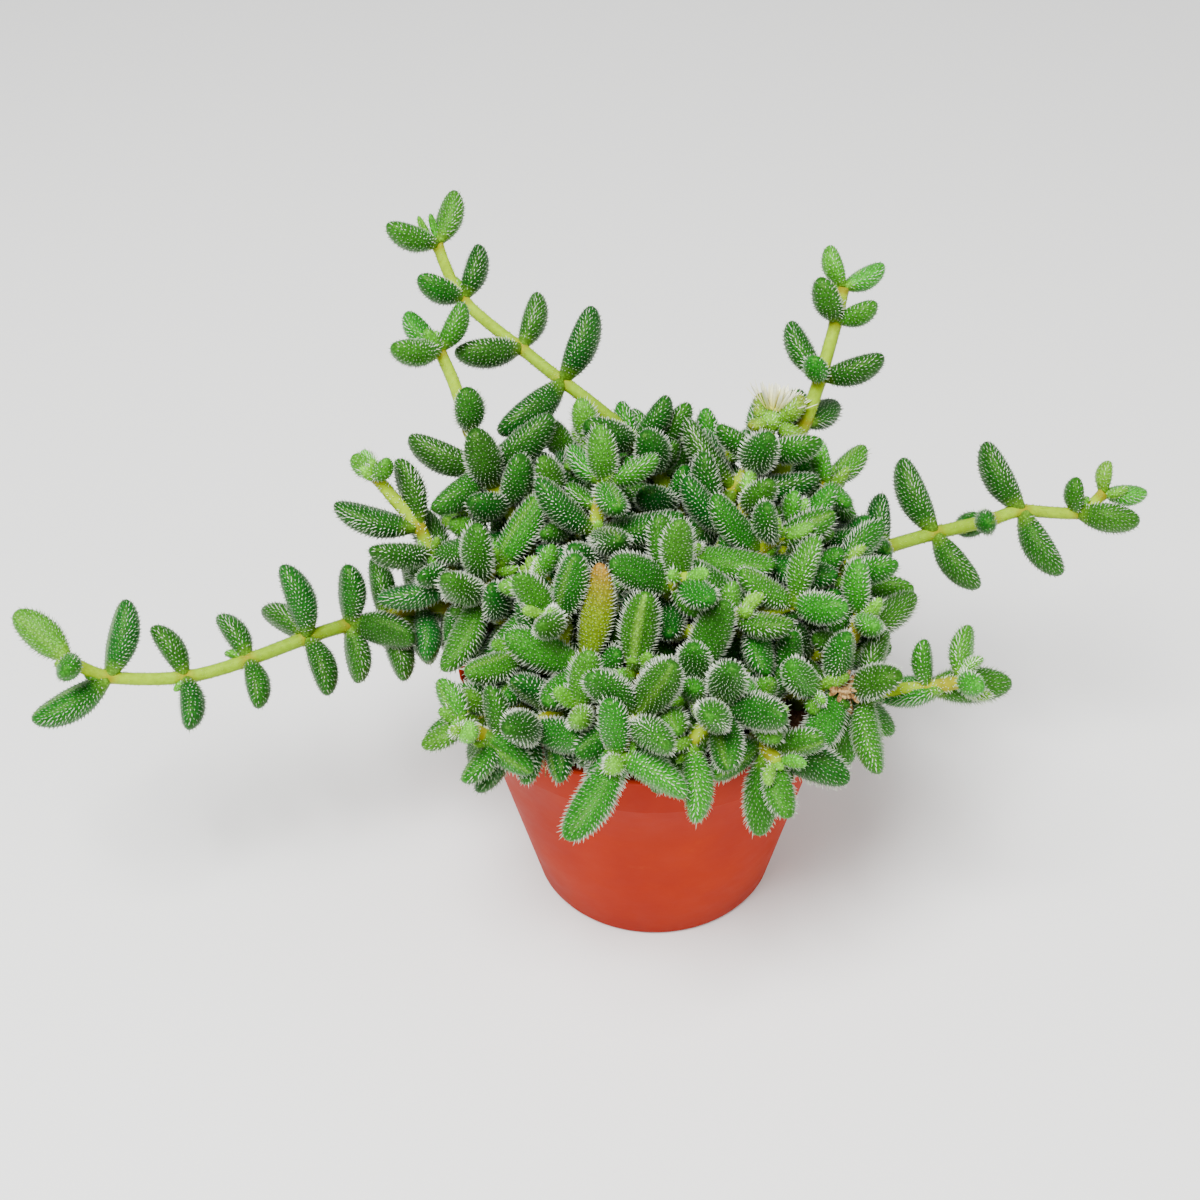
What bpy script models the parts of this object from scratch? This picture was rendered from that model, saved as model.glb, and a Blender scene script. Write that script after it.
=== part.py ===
"""A potted pickle plant: a plastic nursery pot, its soil, leafy shoots, a bloom and a dry seed cup.

Metres, +Z up. The origin is the middle of the pot's underside, and -Y is the plant's front.
Lengths below are in millimetres, and MM turns them into metres where a mesh is made.
"""
import math
import random

import bmesh
import bpy
import numpy as np

MM = 0.001
GAP = 0.3                # between pieces that touch
SEED = 7

# Pot: a tapered nursery pot with a collar
POT_HEIGHT = 63.0
RIM_RADIUS = 42.5
RIM_LIP = 1.6            # height of the thickened edge
RIM_FLARE = 0.7          # how far that edge stands out from the collar
COLLAR_HEIGHT = 11.0
COLLAR_TAPER = 0.9
COLLAR_STEP = 1.5
BASE_RADIUS = 27.0
BASE_CHAMFER = 1.2
RIM_ROUND = 0.4
POT_WALL = 1.2
POT_SIDES = 32
DRAIN_HOLES = 4
DRAIN_RADIUS = 2.2
DRAIN_CIRCLE = 17.0
DRAIN_SIDES = 6

# Soil
SOIL_LEVEL = 57.0
SOIL_CROWN = 2.5         # how much the middle stands above the edge
SOIL_LUMP = 0.7
SOIL_SECTORS = 16
SOIL_RINGS = 3
ROOT_DEPTH = 5.0
HOLE_TOP = 61.0          # above every lump of the soil

# Stems
STEM_RADIUS = 1.45
STEM_TIP_RADIUS = 1.05
STEM_SIDES = 5
INNER_STEM_SIDES = 4
STEM_CLEARANCE = 0.9     # room kept round each stem

# Leaves: plump, blunt, with a narrow neck, as wide as LEAF_RADIUS at LEAF_LENGTH
LEAF_LENGTH = 17.0
LEAF_RADIUS = 3.2
LEAF_GROWTH = 0.6        # how much slower a leaf's thickness grows than its length
LEAF_NECK = 0.42         # neck radius as a share of the leaf's
LEAF_WIDEST = 0.55       # where along the leaf it is widest
LEAF_BLUNT = 2.4         # a higher power makes a blunter tip
LEAF_FLAT = 0.9          # thickness as a share of width
LEAF_SAG = 0.22          # bow of the leaf's centre line
LEAF_SUNK = 0.2          # how far past the stem's middle a leaf starts
LEAF_RINGS = (0.25, 0.56, 0.86)
INNER_LEAF_RINGS = (0.36, 0.83)
LEAF_SIDES = 5
INNER_LEAF_SIDES = 4
BRISTLE = 0.6            # height of a leaf's coarse bristles
LEAF_SPACE = 0.8         # room kept round each leaf

# Bloom on its green cup, and the dry seed cup. The numbers of a ring are given at star()
GREEN_CUP = ((-1.0, 0.9, 0.0, 0.0, 0), (1.0, 1.9, 3.4, 1.0, 0), (1.9, 2.2, 3.9, 1.5, 0), (3.0, 2.1, 0.0, 0.0, 0))
GREEN_CUP_ROOM = (2.4, 5.2)
CUP_SPOKES = 10
PETAL_SPOKES = 22
BLOOM = ((0.0, 1.7, 0.0, 0.0, 0), (0.9, 1.9, 4.7, 3.0, 0), (1.7, 1.7, 4.8, 3.3, 0), (2.1, 1.3, 3.2, 4.6, 1),
         (2.7, 1.0, 3.1, 5.0, 1), (2.9, 0.7, 0.0, 0.0, 0))
BLOOM_ROOM = (8.5, 5.5)  # height over the stem's end and radius of the room that it needs
DRY_CUP = ((0.0, 0.9, 0.0, 0.0, 0), (1.6, 2.1, 0.2, 0.0, 0), (3.2, 2.0, 1.3, 0.4, 0), (2.4, 1.1, 0.0, 0.0, 0))
DRY_CUP_ROOM = (2.2, 3.6)

# Mound of foliage that the inner shoots fill. A layer is a number of tips, its rise and its radius
MOUND_CENTRE = (-1.0, 5.0)
MOUND_FOOT = 62.0
LAYERS = ((38, 36.0, 45.0), (10, 18.0, 40.0))
STEM_TRIES = 24
SKIRT_SHOOTS = 14
SKIRT_RADIUS = 49.0
SKIRT_HEIGHT = 71.0
GOLDEN_ANGLE = math.pi * (3.0 - math.sqrt(5.0))
ROOT_SPREAD = 27.0
ROOT_PITCH = 4.6
PAIR_REACH = 26.0        # two shoots this close may share a root
TIP_SPACE = 9.8          # least distance between two shoot tips

# Leaf pairs of an inner shoot: distance below its tip, length and spread in degrees
TUFT_PAIRS = ((2.5, 12.0, 42.0), (8.5, 16.5, 60.0), (17.0, 16.5, 72.0))
# Leaf pairs below the listed leaves of a shoot
LOWER_PAIRS = (8.5, 16.0)
LOWER_LENGTH = 15.0
LOWER_SPREAD = 65.0
LOWER_TOP = 86.0

# Shoots that reach out of the mound. A route runs from the root to the tip, and a leaf is
# the route point that it grows from with its reach to the right, back and up.
SHOOTS = {
    "trailing_shoot_left": {
        "route": [(-29, 9, 54), (-33, 9, 61), (-40, 9, 66.5), (-50, 9, 67.5), (-59, 8, 65.5), (-66, 4, 67),
                  (-74.5, 0, 67), (-87, -4, 64.5), (-100, -8, 63.5), (-115, -12, 67.5), (-122, -14, 74.5)],
        "leaves": [(10, -11, 7, 7), (10, 2, -9, 4), (9, 4, 11, 12), (9, -15, -9, -4), (8, -10, 4, 9),
                   (8, 2, -12, -4), (7, -7, 9, 5), (7, 3, -11, -4), (6, -4, 5, 16), (6, -9, 7, 7),
                   (6, 5, -12, -6), (5, 1, 3, 14), (5, 2, -8, -10), (4, 5, -12, -8), (4, -2, 10, 9)],
    },
    "arching_shoot_back": {
        "route": [(8, 17, 54), (8, 19, 68), (5, 23, 84), (-3, 30, 95), (-12, 35, 102), (-18.5, 39, 105.5),
                  (-27.5, 45, 110.5), (-40, 52, 119), (-45, 57, 130)],
        "leaves": [(8, -10, -4, 7), (8, 4, 9, 8), (7, -9, -2, 7), (7, 4, 8, 9), (6, -14, -6, 3),
                   (6, 4, 10, 8), (5, 7, 8, 14), (5, -14, -12, -5)],
    },
    "upright_shoot_left": {
        "route": [(-14, 8, 54), (-18, 9, 66), (-25, 11, 80), (-31, 14, 91), (-35.5, 20, 96), (-38.5, 26, 102),
                  (-41.5, 32, 110), (-44.5, 36, 116)],
        "leaves": [(7, -9, -8, 6), (7, -7, 6, 6), (7, 2, 8, 8), (7, 8, 8, 3), (5, 0, -2, 12), (4, -16, 4, 6),
                   (4, -14, -7, 2), (4, 15, 2, 12), (3, -9, -5, 8)],
    },
    "tuft_left": {
        "route": [(-22, 1, 54), (-26, 2, 64), (-34, 4, 72), (-42, 6.5, 77), (-47, 8.5, 83), (-49.5, 10, 88.5),
                  (-54, 12, 94), (-58, 14, 99)],
        "leaves": [(7, -5, 5, 2), (7, 3, -3, 6), (5, -16, 1, 5), (5, -2, 8, 11), (5, 6, -3, 10),
                   (4, -11, -7, 6), (4, 9, -6, 6), (3, -10, 7, -2), (3, 2, -12, 4)],
    },
    "flower_shoot": {
        "route": [(6, 8, 54), (7, 9, 66), (11, 12, 79), (18, 18, 91), (24, 23, 96.5), (26, 26, 101)],
        "leaves": [(3, 16, -3, 4), (3, -14, -9, -10), (3, -9, 8, 11), (4, -11, -3, 3), (4, 10, -8, 4),
                   (4, 1, 11, 6)],
    },
    "upright_shoot_right": {
        "route": [(18, 20, 54), (22, 22, 72), (28, 25, 88), (33.5, 28, 101), (37, 33, 109), (40.5, 39.5, 119),
                  (42, 43, 125)],
        "leaves": [(6, -3, 4, 8), (6, 9, 4, 3), (5, -4, -1, 11), (5, 6, -4, 7), (4, 13, -2, 6),
                   (4, -11, 6, 6), (4, -4, -5, 7), (3, 8, 10, -2)],
    },
    "shoot_right_back": {
        "route": [(25, 10, 54), (30, 11, 64), (35, 14, 74), (36.5, 18, 82), (38.5, 22, 89)],
        "leaves": [(4, 8, 8, 3), (4, -3, 3, 8), (4, 3, -9, 1), (4, 10, 1, -6), (3, -5, -8, 1), (3, -6, 10, 2)],
    },
    "trailing_shoot_right": {
        "route": [(29, 19, 54), (33, 19, 63), (39, 18.5, 68.5), (46, 18, 70.5), (52, 21, 71.5), (63.5, 24, 73),
                  (76, 27, 74), (83.5, 29, 75), (96.5, 31, 72.5), (102.5, 33, 76.5)],
        "leaves": [(9, 1, 4, 6), (9, 10, 1, -1), (8, -1, 1, 9), (8, 13, -5, 1), (7, -8, 10, 12),
                   (7, 8, -11, -10), (6, -2, -8, 5), (6, -6, 5, -6), (5, -7, 11, 13), (5, 9, -10, -8),
                   (4, -1, -8, 5), (4, 5, 9, 7)],
    },
    "shoot_lower_right": {
        "route": [(27, -14, 54), (32, -17, 62), (38, -20, 67), (43, -22, 67.5), (55, -25, 71), (61.5, -27, 74)],
        "leaves": [(5, 2, 9, 6), (5, 2, -7, 5), (4, -1, 3, 9), (4, 17, 2, -1), (3, 3, 10, 7), (3, 1, -15, -7)],
        "stalk": [(38, -20, 67), (38, -22, 68.6), (38, -23.5, 70.2)],
    },
    "shoot_lower_left": {
        "route": [(-16, -20, 54), (-18, -24, 63), (-20, -28, 68.5), (-26, -34, 70.5), (-32.5, -38, 71.5),
                  (-39, -40, 77)],
        "leaves": [(5, -4, 6, 6), (5, 2, -6, 3), (5, -7, -3, -3), (4, -1, 3, 10), (4, -6, -8, -3),
                   (3, 12, -3, 7), (3, 1, -10, -3)],
    },
    "shoot_front": {
        "route": [(-3, -22, 54), (-3, -27, 66), (-4, -35, 76), (-6.5, -44, 78.5), (-9, -49, 76)],
        "leaves": [(4, -9, -12, -8), (4, 12, -8, -2), (4, -1, 2, 12), (4, 8, 1, 5), (4, -2, -7, 4),
                   (3, -10, -2, 7), (2, 6, -12, 4)],
    },
    "mound_shoot_01": {
        "route": [(-5.5, 2, 54), (-9.5, 2, 77.5), (-12, 2, 92), (-10, 8, 100.5)],
        "leaves": [(2, -10.5, 1, 12), (2, 16.5, -3, 5.5), (3, -0.5, 1.5, 12), (3, 2.5, -12, 2.5),
                   (3, -5, 8, 6), (3, 7, 4, 8)],
    },
    "mound_shoot_02": {
        "route": [(-6.5, 15.5, 54), (-9.5, 24, 80), (-12.5, 30, 95.5)],
        "leaves": [(2, -2, 0.5, 10), (2, -5.5, -8, 2.5), (2, 9, -5, 8)],
    },
    "mound_shoot_03": {
        "route": [(-16.5, -1, 54), (-28, -3, 69), (-36.5, -2, 79.5), (-33.5, 1, 84)],
        "leaves": [(2, -8.5, -13, -6.5), (3, 8, 6, 13.5)],
    },
    "mound_shoot_04": {
        "route": [(-10.5, -2.5, 54), (-18, -6, 72), (-23.5, -8, 82), (-24.5, -6, 87)],
        "leaves": [(2, -5.5, -11.5, -5.5), (2, 8, -4.5, 10), (3, -6.5, -6, 2.5), (3, 2, -4.5, 6.5)],
    },
    "mound_shoot_05": {
        "route": [(-8.5, -10, 54), (-11.5, -19, 69.5), (-15, -25, 78.5)],
        "leaves": [(2, 3, 5, 16.5), (2, -7, -10.5, 0.5), (2, -14, -5, 5.5)],
    },
    "mound_shoot_06": {
        "route": [(-2, -10.5, 54), (-4, -20, 69.5), (-5, -26, 78)],
        "leaves": [(2, 2.5, 3, 16), (2, -8.5, -8, -1.5)],
    },
    "mound_shoot_07": {
        "route": [(3.5, -10.5, 54), (6, -20.5, 68.5), (7.5, -27, 77), (6, -33, 76.5)],
        "leaves": [(2, 5.5, 2.5, 15.5), (2, -10, -9, 4), (3, -3.5, -4.5, 7.5), (3, 1.5, -6, 5)],
    },
    "mound_shoot_08": {
        "route": [(9.5, -5.5, 54), (16.5, -10.5, 71.5), (21, -14, 81.5), (28.5, -13, 84)],
        "leaves": [(2, -14, 2.5, 11.5), (2, 0.5, -13.5, -2.5), (3, -10.5, -1.5, 9), (3, -4, 3.5, 12.5),
                   (3, 8, -7.5, 7), (3, 1, 2.5, 10.5)],
    },
    "mound_shoot_09": {
        "route": [(18, -4.5, 54), (31.5, -9, 66), (40, -12, 72), (42.5, -10, 78)],
        "leaves": [(2, -7, -3.5, 4.5), (3, -0.5, 2.5, 11.5), (3, -7.5, -0.5, 11), (3, 2.5, -6, 7.5)],
    },
    "mound_shoot_10": {
        "route": [(5.5, -18.5, 54), (9.5, -28.5, 69), (12, -37, 77.5), (5.5, -44, 74.5)],
        "leaves": [(2, 0.5, -14, -2), (2, -9.5, -8, 3), (3, 3.5, -14, -2.5), (3, 9, -13, -2.5)],
    },
    "mound_shoot_11": {
        "route": [(15, -10, 54), (26, -19, 65), (33, -25, 71)],
        "leaves": [(2, -11, -2.5, 8.5), (2, 4.5, -3.5, 9.5), (2, 1.5, -9, -1.5)],
    },
    "mound_shoot_12": {
        "route": [(-0.5, 13.5, 54), (-1.5, 25, 76), (-2, 34, 89.5)],
        "leaves": [(2, 10, -2, 11), (2, 9, -9, 1), (2, -4, 3, 10)],
    },
    "mound_shoot_13": {
        "route": [(3, 1, 54), (5.5, 0.5, 75.5), (7, 0, 88)],
        "leaves": [(2, -15, -8, -1), (2, 16, -7, 1.5)],
    },
    "mound_shoot_14": {
        "route": [(-8, -18, 54), (-13, -30, 69.5), (-16, -38, 78.5)],
        "leaves": [(2, 0.5, -8.5, 2.5), (2, -12, 0.5, 5.5), (2, 5, 1, 11)],
    },
    "mound_shoot_15": {
        "route": [(-1, -15.5, 54), (1, -27.5, 68.5), (0.5, -37, 77.5)],
        "leaves": [(2, 3, -9, 1.5), (2, -4.5, -1.5, 10), (2, -7, -7.5, -1)],
    },
    "mound_shoot_16": {
        "route": [(11.5, -14.5, 54), (16, -26, 66.5), (20, -33, 73)],
        "leaves": [(2, -6.5, -2.5, 7.5), (2, 2, -10.5, 2.5), (2, 5.5, -4.5, 7)],
    },
    "mound_shoot_17": {
        "route": [(-14, -9, 54), (-22, -15.5, 69), (-27.5, -20, 77.5)],
        "leaves": [(2, -10, -8, 3), (2, -4, -10, 0), (2, 7, -3.5, 7.5)],
    },
}


# Layout

def unit(vector):
    """The vector's direction."""
    return vector / np.linalg.norm(vector)


def across(direction, other):
    """The part of other that is square to direction, as a direction."""
    rest = other - direction * np.dot(other, direction)
    if np.linalg.norm(rest) < 0.2:
        rest = np.array((0.0, 0.0, 1.0)) - direction * direction[2]
    if np.linalg.norm(rest) < 0.2:
        rest = np.array((0.0, 1.0, 0.0)) - direction * direction[1]
    return unit(rest)


def smooth_route(points, steps):
    """A smooth curve through the points, with so many steps between neighbours."""
    spots = [np.array(point, float) for point in points]
    spots = [2 * spots[0] - spots[1]] + spots + [2 * spots[-1] - spots[-2]]
    curve = []
    for a, b, c, d in zip(spots, spots[1:], spots[2:], spots[3:]):
        for step in range(steps):
            t = step / steps
            bend = (2 * a - 5 * b + 4 * c - d) * t * t + (3 * b - a - 3 * c + d) * t ** 3
            curve.append(0.5 * (2 * b + (c - a) * t + bend))
    curve.append(spots[-2])
    return np.array(curve)


def coarse(stem):
    """Every second point of a stem. Straight stretches between them are enough for the solid."""
    return stem[::2]


def leaf_radius(length):
    """Widest radius of a leaf of this length."""
    return LEAF_RADIUS * (length / LEAF_LENGTH) ** LEAF_GROWTH


def leaf_profile(along):
    """Share of the widest radius at a place along the leaf, 0 at the stem and 1 at the tip."""
    swell = math.sin(0.5 * math.pi * min(max(along, 0.0) / LEAF_WIDEST, 1.0))
    tip = max(0.0, (along - LEAF_WIDEST) / (1.0 - LEAF_WIDEST))
    return (LEAF_NECK + (1.0 - LEAF_NECK) * swell) * math.sqrt(max(0.0, 1.0 - tip ** LEAF_BLUNT))


def leaf_point(leaf, along):
    """A point on the leaf's bowed centre line."""
    sag = LEAF_SAG * leaf["length"] * along * (1.0 - along)
    return leaf["base"] + leaf["reach"] * along - leaf["upper"] * sag


def pot_radius(height):
    """The pot's outer radius at a height."""
    shoulder = POT_HEIGHT - COLLAR_HEIGHT
    if height >= shoulder:
        return RIM_RADIUS - RIM_FLARE - COLLAR_TAPER * (POT_HEIGHT - height) / COLLAR_HEIGHT
    body_top = RIM_RADIUS - RIM_FLARE - COLLAR_TAPER - COLLAR_STEP
    return BASE_RADIUS + (body_top - BASE_RADIUS) * max(height, 0.0) / shoulder


def pot_inside(height):
    """The pot's inner radius at a height: the inner step lies a wall's thickness higher."""
    shoulder = POT_HEIGHT - COLLAR_HEIGHT
    if shoulder <= height < shoulder + POT_WALL:
        return pot_radius(shoulder - 0.01) - POT_WALL
    return pot_radius(height) - POT_WALL


def soil_height(x, y):
    """The soil's uneven top."""
    away = math.hypot(x, y) / RIM_RADIUS
    lumps = math.sin(0.31 * x + 1.3) * math.cos(0.27 * y) + math.sin(0.21 * (x + y))
    return SOIL_LEVEL + SOIL_CROWN * (1.0 - away * away) + SOIL_LUMP * lumps


def pot_clearance(centres, radii):
    """Least distance of the balls to the pot's wall and to the soil, each less its radius."""
    least = 100.0
    mouth = RIM_RADIUS - RIM_FLARE - POT_WALL
    for (x, y, z), radius in zip(centres, radii):
        away = math.hypot(x, y)
        if z > POT_HEIGHT:
            edge = math.hypot(max(mouth - away, away - RIM_RADIUS, 0.0), z - POT_HEIGHT)
        elif away > RIM_RADIUS - POT_WALL:
            edge = away - (RIM_RADIUS if z > POT_HEIGHT - RIM_LIP - radius else pot_radius(z))
        else:
            edge = pot_radius(z) - POT_WALL - away
        least = min(least, edge - radius - GAP)
        if away < RIM_RADIUS:
            least = min(least, z - radius - soil_height(x, y) - GAP)
    return least


class Room:
    """Balls that stand for all that is already in place. Each has the node that it belongs to,
    and outer leaf parts also keep clear of the leaves of their own node."""

    def __init__(self):
        self.centres = np.empty((0, 3))
        self.radii = np.empty(0)
        self.owners = np.empty(0, int)
        self.outer = np.empty(0, bool)

    def add(self, centres, radii, owner, outer):
        self.centres = np.vstack((self.centres, centres))
        self.radii = np.concatenate((self.radii, radii))
        self.owners = np.concatenate((self.owners, np.full(len(radii), owner, int)))
        self.outer = np.concatenate((self.outer, outer))

    def around(self, point, distance):
        """What lies within a distance of a point, as a smaller room."""
        near = np.linalg.norm(self.centres - point, axis=1) < distance
        part = Room()
        part.add(self.centres[near], self.radii[near], self.owners[near], self.outer[near])
        return part

    def clearance(self, centres, radii, owner, outer):
        """Least gap between these balls and the ones in place that they have to miss."""
        if not len(self.radii):
            return 100.0
        steps = centres[:, None, :] - self.centres[None, :, :]
        gaps = np.sqrt((steps ** 2).sum(axis=2)) - radii[:, None] - self.radii[None, :]
        matter = (self.owners != owner)[None, :] | (outer[:, None] & self.outer[None, :])
        return float(np.where(matter, gaps, 100.0).min())


def stem_balls(points):
    """Balls along a stem, one every 2 mm or so."""
    centres = []
    for start, end in zip(points, points[1:]):
        count = max(1, int(np.linalg.norm(end - start) / 2.0))
        centres.extend(start + (end - start) * step / count for step in range(count))
    centres.append(points[-1])
    centres = np.array(centres)
    return centres, np.full(len(centres), STEM_RADIUS + STEM_CLEARANCE), np.zeros(len(centres), bool)


def leaf_balls(leaf):
    """Balls along a leaf, bristles included."""
    places = (0.15, 0.3, 0.45, 0.6, 0.75, 0.9)
    centres = np.array([leaf_point(leaf, along) for along in places])
    radii = np.array([leaf["radius"] * leaf_profile(along) + LEAF_SPACE for along in places])
    outer = np.array([along > 0.4 for along in places])
    return centres, radii, outer


def make_leaf(base, reach, tangent):
    """A leaf from its place on the stem, its reach and the stem's direction there."""
    length = float(np.linalg.norm(reach))
    return {"base": base, "reach": reach, "length": length, "radius": leaf_radius(length),
            "upper": across(unit(reach), tangent)}


def turned(vector, axis, angle):
    """The vector turned round an axis by an angle in radians."""
    return (vector * math.cos(angle) + np.cross(axis, vector) * math.sin(angle)
            + axis * np.dot(axis, vector) * (1.0 - math.cos(angle)))


def leaf_tries():
    """Small changes of a leaf's place, the smallest first: two turns in degrees and a size."""
    tries = [(lift, swing, size) for size in (1.0, 0.92, 0.84, 0.76, 0.68)
             for lift in (0, 8, -8, 16, -16, 25, -25, 35) for swing in (0, 9, -9, 18, -18, 28, -28)]
    return sorted(tries, key=lambda t: abs(t[0]) + abs(t[1]) + 110.0 * (1.0 - t[2]))


LEAF_TRIES = leaf_tries()


def place_leaf(room, owner, base, reach, tangent):
    """The leaf nearest to what was asked that misses everything, or None."""
    side = unit(np.cross(reach, tangent) + np.array((0.0, 0.0, 1e-6)))
    nearby = room.around(base, np.linalg.norm(reach) + 2.5 * LEAF_RADIUS)
    for lift, swing, size in LEAF_TRIES:
        tried = turned(turned(reach, side, math.radians(lift)), tangent, math.radians(swing)) * size
        leaf = make_leaf(base, tried, tangent)
        centres, radii, outer = leaf_balls(leaf)
        if pot_clearance(centres, radii) < -0.1:
            continue
        if nearby.clearance(centres, radii, owner, outer) < 0.0:
            continue
        room.add(centres, radii, owner, outer)
        return leaf
    return None


def lay_out_shoots(room, draw):
    """The shoots of SHOOTS: stems first, because leaves give way to stems."""
    shoots = []
    for owner, (name, plan) in enumerate(SHOOTS.items()):
        shoot = new_shoot(name, owner, "mound" in name)
        shoots.append(shoot)
        for part in ("route", "stalk"):
            if part not in plan:
                continue
            stem = smooth_route(plan[part], 2)
            centres, radii, outer = stem_balls(stem)
            room.add(centres, radii, owner, outer)
            shoot["stems"].append(stem)
        stem = shoot["stems"][0]
        for spot, right, back, up in plan["leaves"]:
            tangent = unit(stem[min(2 * spot + 1, len(stem) - 1)] - stem[2 * spot - 1])
            shoot["wanted"][0].append((stem[2 * spot], np.array((right, back, up), float), tangent))
        bare = stem[:2 * min(leaf[0] for leaf in plan["leaves"]) + 1:2]
        for rank, below in enumerate(LOWER_PAIRS):
            pair = leaf_pair(bare, below, LOWER_LENGTH, LOWER_SPREAD, draw.uniform(0.0, math.pi), draw)
            if HOLE_TOP < pair[0][0][2] < LOWER_TOP:
                shoot["wanted"][rank + 1].extend(pair)
        if name == "flower_shoot":
            shoot["cups"].append(star(*stem_end(shoot, 0), CUP_SPOKES, GREEN_CUP))
            keep_room(room, shoot, 0, GREEN_CUP_ROOM)
            keep_room(room, shoot, 0, BLOOM_ROOM)
        if "stalk" in plan:
            keep_room(room, shoot, 1, DRY_CUP_ROOM)
    return shoots


def new_shoot(name, owner, inner):
    """A shoot with nothing on it yet. The leaves that it wants are in three ranks, outermost first."""
    return {"name": name, "owner": owner, "inner": inner, "stems": [], "wanted": [[], [], []], "leaves": [],
            "cups": []}


def stem_end(shoot, index):
    """The end of one of the shoot's stems and the way that it points."""
    stem = shoot["stems"][index]
    return stem[-1], unit(stem[-1] - stem[-2])


def keep_room(room, shoot, index, size):
    """Keeps leaves of other shoots away from what a stem carries."""
    end, axis = stem_end(shoot, index)
    height, radius = size
    room.add(np.array([end + axis * height]), np.array([radius]), shoot["owner"], np.zeros(1, bool))


def mound_tips():
    """Tips of the inner shoots: an even spiral over each layer and a skirt round the mound's foot."""
    tips = []
    for number, rise, radius in LAYERS:
        for count in range(number):
            share = math.sqrt((count + 0.5) / number)
            turn = count * GOLDEN_ANGLE
            out = share * np.array((math.cos(turn), math.sin(turn), 0.0))
            up = MOUND_FOOT + rise * math.sqrt(1.0 - 0.75 * share * share)
            tips.append((np.array((*MOUND_CENTRE, up)) + radius * out,
                         unit(out + np.array((0.0, 0.0, 0.75)))))
    for count in range(SKIRT_SHOOTS):
        turn = 2.0 * math.pi * (count + 0.5) / SKIRT_SHOOTS
        out = np.array((math.cos(turn), math.sin(turn), 0.0))
        tips.append((out * SKIRT_RADIUS + np.array((0.0, 0.0, SKIRT_HEIGHT)),
                     unit(out + np.array((0.0, 0.0, 0.15)))))
    return tips


def free_root(tip, roots):
    """A place on the soil under the tip that keeps its distance to the other roots."""
    wish = tip[:2] * 0.5
    wish *= min(1.0, ROOT_SPREAD / max(np.linalg.norm(wish), 1.0))
    for step in range(200):
        away = 0.7 * math.sqrt(step)
        spot = wish + away * np.array((math.cos(step * GOLDEN_ANGLE), math.sin(step * GOLDEN_ANGLE)))
        if np.linalg.norm(spot) > ROOT_SPREAD + 1.0:
            continue
        if all(np.linalg.norm(spot - root) > ROOT_PITCH for root in roots):
            return spot
    return None


def inner_stem(start, tip, lean, sway, draw):
    """A stem that rises from its start and leans out to its tip, with a random bend."""
    wobble = np.array([draw.uniform(-sway, sway) for axis in range(3)])
    rise = start + (tip - start) * 0.35 + np.array((0.0, 0.0, 3.0)) + wobble
    last = 0.3 * np.linalg.norm(tip - start)
    return smooth_route([start, rise, tip - lean * last + 0.4 * wobble, tip], 2)


def add_inner_stem(room, shoot, start, tip, lean, draw):
    """Tries a few bends until a stem misses the others, and adds it. False if none does."""
    for attempt in range(STEM_TRIES):
        nudge = np.array([draw.uniform(-0.2, 0.2) * attempt for axis in range(3)])
        stem = inner_stem(start, tip + nudge, lean, 2.0 + 0.2 * attempt, draw)
        centres, radii, outer = stem_balls(coarse(stem))
        above = centres[:, 2] > HOLE_TOP
        if pot_clearance(centres[above], radii[above]) < 0.0:
            continue
        if room.clearance(centres, radii, shoot["owner"], outer) < 0.0:
            continue
        room.add(centres, radii, shoot["owner"], outer)
        shoot["stems"].append(stem)
        turn = draw.uniform(0.0, math.pi)
        for rank, (below, length, spread) in enumerate(TUFT_PAIRS):
            if below < tip[2] - HOLE_TOP:
                shoot["wanted"][rank].extend(leaf_pair(coarse(stem), below, length, spread, turn, draw))
                turn += 0.5 * math.pi
        return True
    return False


def leaf_pair(stem, below, length, spread, turn, draw):
    """Two opposite leaves, wanted at a distance below the stem's tip."""
    reached = 0.0
    index = len(stem) - 1
    while index > 1 and reached + np.linalg.norm(stem[index] - stem[index - 1]) < below:
        reached += np.linalg.norm(stem[index] - stem[index - 1])
        index -= 1
    step = stem[index - 1] - stem[index]
    base = stem[index] + unit(step) * (below - reached)
    tangent = -unit(step)
    first = across(tangent, np.array((0.0, 0.0, 1.0)))
    second = np.cross(tangent, first)
    pair = []
    for side in (0.0, math.pi):
        angle = turn + side + math.radians(draw.uniform(-12.0, 12.0))
        tilt = math.radians(spread + draw.uniform(-8.0, 8.0))
        size = length * draw.uniform(0.88, 1.1)
        out = first * math.cos(angle) + second * math.sin(angle)
        pair.append((base, size * (tangent * math.cos(tilt) + out * math.sin(tilt)), tangent))
    return pair


def lay_out_inner_shoots(room, shoots, draw):
    """Inner shoots, two tips to a root where they are near each other."""
    taken = [shoot["stems"][0][-1] for shoot in shoots]
    roots = [shoot["stems"][0][0][:2] for shoot in shoots]
    tips = []
    for tip, lean in mound_tips():
        if all(np.linalg.norm(tip - other) > TIP_SPACE for other in taken):
            tips.append((tip, lean))
            taken.append(tip)
    while tips:
        tip, lean = tips.pop(0)
        root = free_root(tip, roots)
        if root is None:
            continue
        shoot = new_shoot("inner_shoot", len(shoots), True)
        start = np.array((root[0], root[1], SOIL_LEVEL - ROOT_DEPTH))
        if not add_inner_stem(room, shoot, start, tip, lean, draw):
            continue
        roots.append(root)
        shoots.append(shoot)
        near = [other for other in tips if np.linalg.norm(other[0] - tip) < PAIR_REACH]
        if near:
            other = min(near, key=lambda item: np.linalg.norm(item[0] - tip))
            fork = shoot["stems"][0][2]
            if add_inner_stem(room, shoot, fork, other[0], other[1], draw):
                tips = [item for item in tips if item is not other]


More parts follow.
